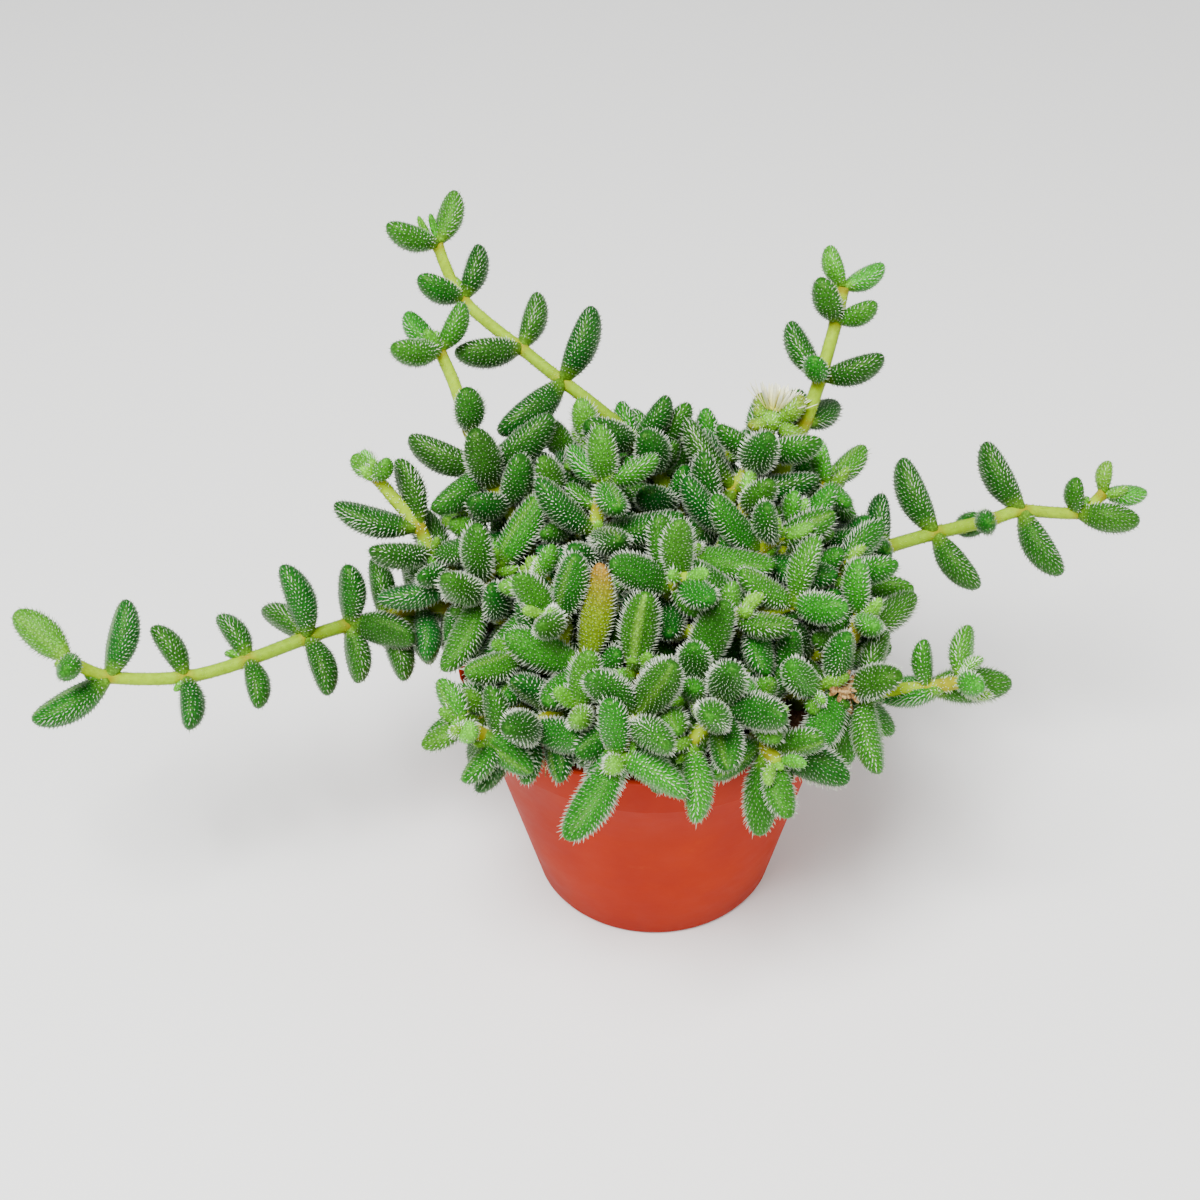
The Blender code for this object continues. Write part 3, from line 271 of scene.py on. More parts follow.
def stemBalls(points):  # balls along a stem, with their radii. None is outer
    centres = []
    for start, end in zip(points, points[1:]):
        count = max(1, int(np.linalg.norm(end - start) / stemForm["ballStep"]))
        centres.extend(start + (end - start) * step / count for step in range(count))
    centres.append(points[-1])
    count = len(centres)
    return np.array(centres), np.full(count, stemForm["radius"] + stemForm["clearance"]), np.zeros(count, bool)


def makeLeaf(base, reach, tangent):  # a leaf from its place on the stem, its reach and the stem's direction
    length = float(np.linalg.norm(reach))
    return {"base": base, "reach": reach, "length": length, "upper": across(unit(reach), tangent),
            "radius": leafForm["radius"] * (length / leafForm["length"]) ** leafForm["growth"]}


# the gap that a leaf leaves to what is near it, bristles included, with its balls as Room takes them
def leafGap(nearby, owner, leaf, potGap=-0.1, tighter=0.0):
    places = leafForm["ballPlaces"]
    centres = np.array([leaf["base"] + leaf["reach"] * along
                        - leaf["upper"] * (leafForm["sag"] * leaf["length"] * along * (1.0 - along))
                        for along in places])
    radii = np.array([leaf["radius"] * leafProfile(along, leafForm) + leafForm["space"] for along in places])
    balls = owner, centres, radii - tighter, np.array([along > leafForm["outerFrom"] for along in places])
    gap = -noGap if potClearance(centres, radii - tighter) < potGap else nearby.clearance(*balls)
    return gap, balls


def turned(vector, axis, angle):  # the vector turned round an axis by an angle in degrees
    angle = math.radians(angle)
    return (vector * math.cos(angle) + np.cross(axis, vector) * math.sin(angle)
            + axis * np.dot(axis, vector) * (1.0 - math.cos(angle)))


# small changes of a leaf's place, the smallest first: two turns in degrees and a size
leafTries = sorted(((lift, swing, size) for size in (1.0, 0.92, 0.84, 0.76, 0.68)
                    for lift in (0, 8, -8, 16, -16, 25, -25, 35) for swing in (0, 9, -9, 18, -18, 28, -28)),
                   key=lambda change: abs(change[0]) + abs(change[1]) + 110.0 * (1.0 - change[2]))


def addLeaves(room, shoots, rank):  # one rank of the wanted leaves: the nearest to each that misses everything
    for shoot in shoots:
        for base, reach, tangent in shoot["wanted"][rank]:
            side = unit(np.cross(reach, tangent) + 1e-6 * zAxis)
            nearby = room.around(base, np.linalg.norm(reach) + 2.5 * leafForm["radius"])
            for lift, swing, size in leafTries:
                leaf = makeLeaf(base, turned(turned(reach, side, lift), tangent, swing) * size, tangent)
                gap, balls = leafGap(nearby, shoot["owner"], leaf)
                if gap >= 0.0:
                    room.add(*balls)
                    shoot["leaves"].append(leaf)
                    break


def newShoot(name, owner):  # nothing on it yet. The leaves that it wants are in three ranks, outermost first
    return {"name": name, "owner": owner, "stems": [], "wanted": [[], [], []], "leaves": []}


def stemEnd(shoot, index):  # the end of one of the shoot's stems and the way that it points
    stem = shoot["stems"][index]
    return stem[-1], unit(stem[-1] - stem[-2])


def leafPair(stem, below, length, spread, turn, draw):  # two opposite leaves at a distance below the tip
    reached = 0.0
    index = len(stem) - 1
    while index > 1 and reached + np.linalg.norm(stem[index] - stem[index - 1]) < below:
        reached += np.linalg.norm(stem[index] - stem[index - 1])
        index -= 1
    tangent = unit(stem[index] - stem[index - 1])
    base = stem[index] - tangent * (below - reached)
    first = across(tangent, zAxis)
    second = np.cross(tangent, first)
    pair = []
    for side in (0.0, math.pi):
        out = between(first, second, turn + side + math.radians(draw.uniform(-12.0, 12.0)))
        tilt = math.radians(spread + draw.uniform(-8.0, 8.0))
        pair.append((base, length * draw.uniform(0.88, 1.1) * between(tangent, out, tilt), tangent))
    return pair


def layOutShoots(room, draw):  # the shoots of shootPlans: stems first, because leaves give way to stems
    shoots = []
    for owner, (name, (route, leaves, *stalk)) in enumerate(shootPlans.items()):
        shoot = newShoot(name, owner)
        shoots.append(shoot)
        for points in (route, *stalk):
            shoot["stems"].append(smoothRoute(points, 2))
            room.add(owner, *stemBalls(shoot["stems"][-1]))
        stem = shoot["stems"][0]
        for spot, *reach in leaves:
            tangent = unit(stem[min(2 * spot + 1, len(stem) - 1)] - stem[2 * spot - 1])
            shoot["wanted"][0].append((stem[2 * spot], np.array(reach, float), tangent))
        bare = stem[:2 * min(leaf[0] for leaf in leaves) + 1:2]
        for rank, below in enumerate(moundForm["lowerPairs"], 1):
            pair = leafPair(bare, below, moundForm["lowerLength"], moundForm["lowerSpread"],
                            draw.uniform(0.0, math.pi), draw)
            if soilForm["holeTop"] < pair[0][0][2] < moundForm["lowerTop"]:
                shoot["wanted"][rank].extend(pair)
        for index, height, radius in keptRoom.get(name, ()):
            end, axis = stemEnd(shoot, index)
            room.add(owner, np.array([end + axis * height]), np.array([radius]), np.zeros(1, bool))
    return shoots


def moundTips():  # tips of the inner shoots: an even spiral over each layer and a skirt round the mound's foot
    tips = []
    for number, rise, radius in moundForm["layers"]:
        for count in range(number):
            share = math.sqrt((count + 0.5) / number)
            out = onCircle(count * goldenAngle, share)
            top = moundForm["foot"] + rise * math.sqrt(1.0 - 0.75 * share * share)
            tips.append((np.array((*moundForm["centre"], top)) + radius * out, unit(out + 0.75 * zAxis)))
    for count in range(moundForm["skirtShoots"]):
        turn = 2.0 * math.pi * (count + 0.5) / moundForm["skirtShoots"]
        tips.append((onCircle(turn, moundForm["skirtRadius"], moundForm["skirtHeight"]),
                     unit(onCircle(turn, 1.0, 0.15))))
    return tips


def freeRoot(tip, roots):  # a place on the soil under the tip that keeps its distance to the other roots
    wish = tip[:2] * 0.5
    wish *= min(1.0, moundForm["rootSpread"] / max(np.linalg.norm(wish), 1.0))
    for step in range(200):
        spot = wish + onCircle(step * goldenAngle, 0.7 * math.sqrt(step))[:2]
        if (np.linalg.norm(spot) <= moundForm["rootSpread"] + 1.0
                and all(np.linalg.norm(spot - root) > moundForm["rootPitch"] for root in roots)):
            return spot
    return None


# a stem that rises from its start and leans out to its tip. Tries a few bends until one misses the other
# stems, and adds it. False if none does
def addInnerStem(room, shoot, start, tip, lean, draw):
    for attempt in range(moundForm["stemTries"]):
        end = tip + np.array([draw.uniform(-0.2, 0.2) * attempt for axis in range(3)])
        sway = 2.0 + 0.2 * attempt
        wobble = np.array([draw.uniform(-sway, sway) for axis in range(3)])
        rise = start + (end - start) * 0.35 + 3.0 * zAxis + wobble
        last = 0.3 * np.linalg.norm(end - start)
        stem = smoothRoute([start, rise, end - lean * last + 0.4 * wobble, end], 2)
        coarse = stem[::2]  # straight stretches between every second point are enough for the solid
        centres, radii, outer = stemBalls(coarse)
        above = centres[:, 2] > soilForm["holeTop"]
        if (potClearance(centres[above], radii[above]) < 0.0
                or room.clearance(shoot["owner"], centres, radii, outer) < 0.0):
            continue
        room.add(shoot["owner"], centres, radii, outer)
        shoot["stems"].append(stem)
        turn = draw.uniform(0.0, math.pi)
        for rank, (below, length, spread) in enumerate(moundForm["tuftPairs"]):
            if below < tip[2] - soilForm["holeTop"]:
                shoot["wanted"][rank].extend(leafPair(coarse, below, length, spread, turn, draw))
                turn += 0.5 * math.pi
        return True
    return False


def layOutInnerShoots(room, shoots, draw):  # two tips to a root where they are near each other
    taken = [shoot["stems"][0][-1] for shoot in shoots]
    roots = [shoot["stems"][0][0][:2] for shoot in shoots]
    tips = []
    for tip, lean in moundTips():
        if all(np.linalg.norm(tip - other) > moundForm["tipSpace"] for other in taken):
            tips.append((tip, lean))
            taken.append(tip)
    while tips:
        tip, lean = tips.pop(0)
        root = freeRoot(tip, roots)
        if root is None:
            continue
        shoot = newShoot("inner_shoot", len(shoots))
        start = np.array((*root, soilForm["level"] - soilForm["rootDepth"]))
        if not addInnerStem(room, shoot, start, tip, lean, draw):
            continue
        roots.append(root)
        shoots.append(shoot)
        near = [other for other in tips if np.linalg.norm(other[0] - tip) < moundForm["pairReach"]]
        if near:
            other = min(near, key=lambda item: np.linalg.norm(item[0] - tip))
            if addInnerStem(room, shoot, shoot["stems"][0][2], *other, draw):
                tips = [item for item in tips if item is not other]


def layOutPlant():  # every shoot with its stems and its leaves
    draw = random.Random(moundForm["seed"])
    room = Room()
    shoots = layOutShoots(room, draw)
    planned = len(shoots)
    addLeaves(room, shoots, 0)
    layOutInnerShoots(room, shoots, draw)
    addLeaves(room, shoots[planned:], 0)
    addLeaves(room, shoots, 1)
    addLeaves(room, shoots, 2)
    leafy = [shoot for shoot in shoots[planned:] if len(shoot["leaves"]) > 1]
    for number, shoot in enumerate(leafy, 1):
        shoot["name"] = f"inner_shoot_{number:02d}"
    return room, shoots[:planned] + leafy


# Modelling helpers

def startMesh(thing=None):  # leaves nothing selected when a new primitive comes in, or only the thing
    if bpy.context.object and bpy.context.object.mode != "OBJECT":
        bpy.ops.object.mode_set(mode="OBJECT")
    bpy.ops.object.select_all(action="DESELECT")
    if thing:
        bpy.context.view_layer.objects.active = thing
        thing.select_set(True)


def pick(test):  # in edit mode, selects the points that pass the test
    work = bmesh.from_edit_mesh(bpy.context.object.data)
    for point in work.verts:
        point.select = bool(test(point.co))
    work.select_mode = {"VERT"}
    work.select_flush_mode()
    bmesh.update_edit_mesh(bpy.context.object.data)


def takeMesh():  # corners and triangles of the master just modelled, which is then removed
    bpy.ops.object.mode_set(mode="EDIT")
    bpy.ops.mesh.select_all(action="SELECT")
    bpy.ops.mesh.quads_convert_to_tris()
    bpy.ops.object.mode_set(mode="OBJECT")
    master = bpy.context.object
    corners = np.array([point.co[:] for point in master.data.vertices])
    triangles = np.array([face.vertices[:] for face in master.data.polygons])
    bpy.data.objects.remove(master)
    return corners, triangles


def modelBody(segments, rings, share):  # a ball whose rings are resized, left in edit mode
    startMesh()
    bpy.ops.mesh.primitive_uv_sphere_add(segments=segments, ring_count=rings, radius=1.0)
    bpy.ops.object.mode_set(mode="EDIT")
    for ring in range(1, rings):
        angle = math.pi * ring / rings
        height = -math.cos(angle)
        grow = share(0.5 + 0.5 * height, angle)
        pick(lambda spot: abs(spot.z - height) < 1e-3)
        bpy.ops.transform.resize(value=(grow, grow, 1.0), center_override=(0.0, 0.0, height))


class Pieces:  # parts of one mesh, gathered before it is made
    def __init__(self):
        self.corners, self.triangles, self.tones, self.marks, self.finishes = [], [], [], [], []
        self.count = 0

    def add(self, corners, triangles, finish=0, tones=(0.0, 0.0, 0.0, 0.0), marks=(1.0, 1.0, 1.0, 1.0)):
        self.corners.append(corners)
        self.triangles.append(triangles + self.count)
        self.tones.append(np.broadcast_to(tones, (len(corners), 4)))
        self.marks.append(np.broadcast_to(marks, (len(corners), 4)))
        self.finishes.append(np.full(len(triangles), finish))
        self.count += len(corners)

    def make(self, name, materials):
        corners = np.concatenate(self.corners) * mm
        triangles = np.concatenate(self.triangles)
        mesh = bpy.data.meshes.new(name)
        mesh.vertices.add(len(corners))
        mesh.vertices.foreach_set("co", corners.astype(np.float32).ravel())
        mesh.loops.add(3 * len(triangles))
        mesh.loops.foreach_set("vertex_index", triangles.astype(np.int32).ravel())
        mesh.polygons.add(len(triangles))
        mesh.polygons.foreach_set("loop_start", np.arange(0, 3 * len(triangles), 3, dtype=np.int32))
        for title, values in (("leafTone", self.tones), ("leafMarks", self.marks)):
            layer = mesh.attributes.new(title, "FLOAT_COLOR", "POINT")
            layer.data.foreach_set("color", np.concatenate(values).astype(np.float32).ravel())
        for material in materials:
            mesh.materials.append(material)
        mesh.polygons.foreach_set("material_index", np.concatenate(self.finishes).astype(np.int32))
        mesh.polygons.foreach_set("use_smooth", np.ones(len(triangles), bool))
        mesh.update(calc_edges=True)
        mesh.validate()
        piece = bpy.data.objects.new(name, mesh)
        bpy.context.scene.collection.objects.link(piece)
        return piece


def lengths(rows):  # length of each row's vector, as a column
    return np.linalg.norm(rows, axis=-1, keepdims=True)


def columns(*values):  # numbers and lists side by side, a number on every row
    return np.column_stack(np.broadcast_arrays(*values))


def hexColour(text):  # an sRGB hex value as linear red, green, blue and 1
    parts = [int(text[place:place + 2], 16) / 255.0 for place in (1, 3, 5)]
    return (*[part / 12.92 if part < 0.04045 else ((part + 0.055) / 1.055) ** 2.4 for part in parts], 1.0)


# A socket takes a value, a hex colour, another node's output or a node, which gives its first output.
# Sockets are named or come in order. The stops of a colour ramp are places and hex colours
def addNode(tree, kind, sockets=(), stops=(), **settings):
    node = tree.nodes.new("ShaderNode" + kind)
    for title, value in settings.items():
        setattr(node, title, value)
    for socket, value in sockets.items() if isinstance(sockets, dict) else enumerate(sockets):
        if isinstance(value, bpy.types.Node):
            value = value.outputs[0]
        if isinstance(value, bpy.types.NodeSocket):
            tree.links.new(value, node.inputs[socket])
        else:
            node.inputs[socket].default_value = hexColour(value) if isinstance(value, str) else value
    for number in range(2, len(stops)):
        node.color_ramp.elements.new(0.5)
    for number, (place, text) in enumerate(stops):
        node.color_ramp.elements[number].position = place
        node.color_ramp.elements[number].color = hexColour(text)
    return node


def newMaterial(name, values):  # a Principled material with these constants, and an object's own coordinates
    material = bpy.data.materials.new(name)
    material.use_nodes = True
    shader = material.node_tree.nodes["Principled BSDF"]
    for socket, value in values.items():
        shader.inputs[socket].default_value = value
    place = addNode(material.node_tree, "TexCoord").outputs["Object"]
    return material, material.node_tree, place


def unevenColour(tree, colour, pattern, spread):
    # the colour's brightness follows a noise: what it is from and to, and the brightness there
    level = addNode(tree, "MapRange", [pattern, *spread])
    return addNode(tree, "HueSaturation", {"Color": colour, "Value": level})


def joinSurface(tree, colour, pattern, strength, distance):
    # joins the colour, and the pattern as a bump, to the shader
    shader = tree.nodes["Principled BSDF"]
    bump = addNode(tree, "Bump", {"Strength": strength, "Distance": distance, "Height": pattern})
    tree.links.new(colour.outputs[0], shader.inputs["Base Color"])
    tree.links.new(bump.outputs[0], shader.inputs["Normal"])


# Materials

def succulentSkin():
    # Fleshy leaf skin: waxy and a little translucent, packed with clear water cells of about
    # half a millimetre that glisten; their glints are painted into the colour as lighter cell middles, with
    # painted shade at the cell rims. Young leaves are lime, old ones a deep bluish green.
    material, tree, place = newMaterial("succulentSkin", {
        "Roughness": 0.4, "Subsurface Weight": 0.08, "Subsurface Radius": (0.4, 1.0, 0.2),
        "Subsurface Scale": 0.001, "Specular IOR Level": 0.3, "Specular Tint": (0.5, 0.9, 0.2, 1.0)})
    tone = addNode(tree, "Attribute", attribute_name="leafTone")
    marks = addNode(tree, "Attribute", attribute_name="leafMarks")
    age, brightness, along = addNode(tree, "SeparateColor", [tone]).outputs
    hueShift, autumn, keel = addNode(tree, "SeparateColor", [marks]).outputs
    ages = addNode(tree, "ValToRGB", [age],
                   [(0.0, "#6aae26"), (0.25, "#4a9624"), (0.55, "#2c7019"), (1.0, "#1a5415")])
    mottle = addNode(tree, "TexNoise", {"Vector": place, "Scale": 260.0, "Detail": 3.0})
    bright = addNode(tree, "MapRange", [mottle, 0.3, 0.7, -0.12, 0.12])
    value = addNode(tree, "MapRange", [brightness, 0.0, 1.0, 0.72, 1.28])
    level = addNode(tree, "Math", [value, bright], operation="ADD")
    hue = addNode(tree, "MapRange", [hueShift, 0.0, 1.0, 0.485, 0.515])
    varied = addNode(tree, "HueSaturation", {"Color": ages, "Value": level, "Hue": hue})
    foot = addNode(tree, "MapRange", [along, 0.02, 0.24, 0.6, 0.0])
    footed = addNode(tree, "MixRGB", [foot, varied, "#7ca824"])
    old = addNode(tree, "ValToRGB", [along],
                  [(0.0, "#5a8010"), (0.55, "#768e14"), (0.8, "#8a8420"), (1.0, "#9c6c2c")])
    aged = addNode(tree, "MixRGB", [autumn, footed, old])
    keeled = addNode(tree, "MixRGB", [keel, aged, "#7fb43c"])
    cells = addNode(tree, "TexVoronoi", {"Vector": place, "Scale": 1900.0})  # cells about 0.5 mm across
    # painted highlight and painted shade: each water cell's middle is lightened as a painted glint and its rim
    # darkened
    cellGlintShade = unevenColour(tree, keeled, cells, (0.1, 0.6, 1.35, 0.62))
    white = addNode(tree, "MapRange", [tone.outputs["Alpha"], 0.1, 0.8])
    hair = addNode(tree, "MixRGB", [white, cellGlintShade, "#f0f8e4"])
    height = addNode(tree, "MapRange", [cells, 0.0, 0.7, 1.0, 0.0])
    joinSurface(tree, hair, height, 0.6, 0.00015)
    return material


def greenStem():
    # A soft young stem, yellow-green and finely downy, with a warmer ring at each leaf joint.
    material, tree, place = newMaterial("greenStem", {
        "Roughness": 0.5, "Subsurface Weight": 0.08, "Subsurface Radius": (0.5, 1.0, 0.2),
        "Subsurface Scale": 0.001, "Specular IOR Level": 0.2, "Specular Tint": (0.7, 0.9, 0.1, 1.0)})
    tone = addNode(tree, "Attribute", attribute_name="leafTone")
    age, nearLeaf = addNode(tree, "SeparateColor", [tone]).outputs[:2]
    ages = addNode(tree, "ValToRGB", [age],
                   [(0.0, "#96b80c"), (0.5, "#789c12"), (0.8, "#4e6a14"), (1.0, "#463c1a")])
    joint = addNode(tree, "MixRGB", [nearLeaf, ages, "#7c4418"])
    streaks = addNode(tree, "TexNoise", {"Vector": place, "Scale": 900.0, "Detail": 2.0})
    varied = unevenColour(tree, joint, streaks, (0.3, 0.7, 0.86, 1.12))
    white = addNode(tree, "MapRange", [tone.outputs["Alpha"], 0.3, 0.6])
    hair = addNode(tree, "MixRGB", [white, varied, "#eef4d8"])
    joinSurface(tree, hair, streaks, 0.4, 0.0001)
    return material


def mouldedPolypropylene():
    # Injection-moulded polypropylene in terracotta orange: smooth and satin, a little uneven in
    # colour, with pale rub marks and dust from handling.
    material, tree, place = newMaterial("mouldedPolypropylene", {"Specular IOR Level": 0.05})
    cloud = addNode(tree, "TexNoise", {"Vector": place, "Scale": 45.0, "Detail": 4.0, "Roughness": 0.6})
    colour = addNode(tree, "ValToRGB", [cloud], [(0.3, "#901a00"), (0.7, "#9f2600")])
    stretched = addNode(tree, "Mapping", {"Vector": place, "Scale": (170.0, 170.0, 330.0)})
    rubs = addNode(tree, "TexNoise", {"Vector": stretched, "Scale": 1.0, "Detail": 5.0, "Roughness": 0.65})
    marks = addNode(tree, "MapRange", [rubs, 0.6, 0.78, 0.0, 0.16])
    rubbed = addNode(tree, "MixRGB", [marks, colour, "#bc5a34"])
    gloss = addNode(tree, "MapRange", [rubs, 0.3, 0.75, 0.5, 0.6])
    tree.links.new(gloss.outputs[0], tree.nodes["Principled BSDF"].inputs["Roughness"])
    fine = addNode(tree, "TexNoise", {"Vector": place, "Scale": 1500.0, "Detail": 2.0})
    joinSurface(tree, rubbed, fine, 0.12, 0.0001)
    return material


def darkPeat():
    # Coarse peat compost: matt, dark brown, with lighter fibres and crumbs of 1 to 3 mm.
    material, tree, place = newMaterial("darkPeat", {"Roughness": 0.95, "Specular IOR Level": 0.2})
    clods = addNode(tree, "TexNoise", {"Vector": place, "Scale": 380.0, "Detail": 6.0, "Roughness": 0.7})
    colour = addNode(tree, "ValToRGB", [clods],
                     [(0.3, "#22120a"), (0.5, "#4a301c"), (0.62, "#64462c"), (0.75, "#94765a")])
    joinSurface(tree, colour, clods, 1.0, 0.0006)
    return material


def creamPetal():
    # Thin waxy petals, cream at the tips and lemon at the foot, that let light through.
    material, tree, place = newMaterial("creamPetal", {
        "Roughness": 0.5, "Subsurface Weight": 0.25, "Subsurface Radius": (1.0, 0.9, 0.6),
        "Subsurface Scale": 0.001})
    tone = addNode(tree, "Attribute", attribute_name="leafTone")
    along = addNode(tree, "SeparateColor", [tone]).outputs["Blue"]
    colour = addNode(tree, "ValToRGB", [along], [(0.0, "#e4e03a"), (0.4, "#f6f098"), (1.0, "#fffcdc")])
    veins = addNode(tree, "TexNoise", {"Vector": place, "Scale": 1200.0, "Detail": 2.0})
    joinSurface(tree, unevenColour(tree, colour, veins, (0.3, 0.7, 0.93, 1.05)), veins, 0.3, 0.0001)
    return material


def driedHusk():
    # A withered seed cup and dead root hairs: papery and matt, from straw to dark brown.
    material, tree, place = newMaterial("driedHusk", {"Roughness": 0.85, "Specular IOR Level": 0.25})
    wrinkles = addNode(tree, "TexNoise", {"Vector": place, "Scale": 700.0, "Detail": 5.0, "Roughness": 0.7})
    colour = addNode(tree, "ValToRGB", [wrinkles], [(0.34, "#3c2410"), (0.48, "#7c5a30"), (0.64, "#c8a874")])
    joinSurface(tree, colour, wrinkles, 0.9, 0.0004)
    return material


skin = succulentSkin()
stemSkin = greenStem()
print("materials ready")


# Leaves

leafLook = {
    "segments": 16, "rings": 12,
    "widest": 0.5, "blunt": 2.1, "full": 1.24,  # a finer outline than the solid's few faces give
    "upperFlat": 0.8,        # the side towards the stem's tip is flatter
    "channel": 0.07,         # shallow groove along that side, as a share of the radius
    "keelWidth": 0.25, "keelShare": 0.25, "keelStrength": 0.35,  # pale line along some leaves
    "bow": 0.12, "tones": (0.1, 0.9),
    # old leaves are long and grow far below the tip
    "oldBelow": 12.0, "placeShare": 0.45, "youngLength": 4.0, "oldLength": 13.0, "ageDrift": 0.12,
    "longer": 1.1, "slimmer": 0.95, "longerFrom": 8.0  # the mound's own leaves against the solids' ones
}
bristleForm = {
    "base": 0.17, "sunk": 0.4, "lean": 0.6, "stray": 0.2, "length": 1.55,
    "pitch": 0.8, "first": 0.12, "run": 0.865, "last": 0.985, "bearing": 0.86, "girth": 0.93,
    "jitter": 0.2, "turnJitter": 0.18, "sizes": (0.8, 1.2),
    "edgeWidth": 0.34,       # long and white along the leaf's two edges
    "hiddenPitch": 1.7, "hiddenWithin": 28.52, "hiddenBelow": 82.0,  # deep in the mound there are fewer
    "woolPitch": 0.62, "woolWhite": 1.5,
    "smoothShoots": ("trailing_shoot_left", "arching_shoot_back", "upright_shoot_left", "upright_shoot_right",
                     "trailing_shoot_right"),
    "smoothFuzz": 0.8, "smoothWhite": 0.9
}
youngForm = {  # the pairs that open at the tips, and buds in the corners between leaf and stem
    "length": 6.6, "spread": 32.0, "slimmer": 0.72, "apart": 0.6, "fuzz": 0.95, "woolly": 0.16,
    "budLength": 4.2, "budShare": 0.22,
    "ways": {"arching_shoot_back": ((-0.36, 0.35, 0.78), 1.1, 0.15, 0.55)}  # way, size, spread and girth
}


def modelLeaf():
    # a ball with the leaf's profile, flattened and grooved on its upper side
    modelBody(leafLook["segments"], leafLook["rings"],
              lambda along, angle: leafProfile(along, leafLook) / math.sin(angle))
    pick(lambda spot: spot.y > 1e-3)
    bpy.ops.transform.resize(value=(1.0, leafLook["upperFlat"], 1.0), center_override=(0.0, 0.0, 0.0))
    pick(lambda spot: spot.y > 0.2 and abs(spot.x) < 0.2 and abs(spot.z) < 0.85)
    bpy.ops.transform.translate(value=(0.0, -leafLook["channel"], 0.0))
    return takeMesh()


def modelBristle():
    # a three-sided spike one unit long, open at its foot, which stands in the skin
    startMesh()
    bpy.ops.mesh.primitive_cone_add(vertices=3, radius1=bristleForm["base"], radius2=0.0, depth=1.0,
                                    end_fill_type="NOTHING", location=(0.0, 0.0, bristleForm["sunk"]))
    bpy.ops.object.transform_apply(location=True)
    return takeMesh()


leafCorners, leafTriangles = modelLeaf()
bristleCorners, bristleTriangles = modelBristle()
print("masters:", len(leafTriangles), "triangles a leaf,", len(bristleTriangles), "a bristle")


def onLeaf(leaf, along, right, up):
    # points of a leaf from their place along it and across it, as shares of its radius
    upper = leaf["upper"]
    side = unit(np.cross(leaf["reach"] / leaf["length"], upper))
    sag, sway = (bow * leaf["length"] * along * (1.0 - along) for bow in (leafForm["sag"], leaf["sway"]))
    return (leaf["base"] + np.outer(along, leaf["reach"]) - np.outer(sag, upper) + np.outer(sway, side)
            + leaf["radius"] * (np.outer(right, side) + leafForm["flat"] * np.outer(up, upper)))


def leafSurface(leaf, along, turn):  # points on a leaf's skin
    share = np.array([leafProfile(place, leafLook) for place in along])
    rise = np.sin(turn) * np.where(np.sin(turn) > 0.0, leafLook["upperFlat"], 1.0)
    return onLeaf(leaf, along, share * np.cos(turn), share * rise)


def bristlePlaces(leaf, chance):
    # rings from foot to tip, each with as many as fit round it
    places, turns = [], []
    jitter, turnJitter = bristleForm["jitter"], bristleForm["turnJitter"]
    pitch = bristleForm["pitch"] * leaf["sparse"]
    count = max(3, int(leaf["length"] * bristleForm["bearing"] / pitch))
    for ring in range(count):
        along = bristleForm["first"] + bristleForm["run"] * (ring + 0.5) / count
        girth = 2.0 * math.pi * leaf["radius"] * bristleForm["girth"] * leafProfile(along, leafLook)
        number = max(3, int(girth / pitch))
        for step in range(number):
            places.append(min(bristleForm["last"], along + chance.uniform(-jitter, jitter) / count))
            turn = step + 0.5 * (ring % 2) + chance.uniform(-turnJitter, turnJitter)
            turns.append(2.0 * math.pi * turn / number)
    return np.array(places), np.array(turns)


def growBristles(pieces, feet, normals, forward, sizes, whites, chance, **looks):
    # one copy of the bristle at each foot, leaning forward and a little at random
    number = len(feet)
    stray = np.array([[chance.uniform(-1.0, 1.0) for axis in range(3)] for foot in range(number)])
    axis = normals + bristleForm["lean"] * forward + bristleForm["stray"] * stray
    axis = axis / lengths(axis)
    first = np.cross(axis, forward + 1e-3 * stray)
    first = first / np.maximum(lengths(first), 1e-6)
    second = np.cross(axis, first)
    x, y, z = bristleCorners.T[:, None, :, None]
    width = np.minimum(1.0, 0.7 * sizes / bristleForm["length"] + 0.36)[:, None, None]  # short is thin
    grown = (feet[:, None, :] + width * (x * first[:, None, :] + y * second[:, None, :])
             + sizes[:, None, None] * z * axis[:, None, :])
    tones = np.repeat(np.broadcast_to(looks.pop("tones"), (number, 4)), z.size, axis=0)
    tones[:, 3] = np.outer(whites, np.where(z.ravel() > 0.5, 1.0, 0.2)).ravel()  # the tip is whitest
    marks = np.repeat(np.broadcast_to(looks.pop("marks", 1.0), (number, 4)), z.size, axis=0)
    triangles = (bristleTriangles + z.size * np.arange(number)[:, None, None]).reshape(-1, 3)
    pieces.add(grown.reshape(-1, 3), triangles, tones=tones, marks=marks, **looks)


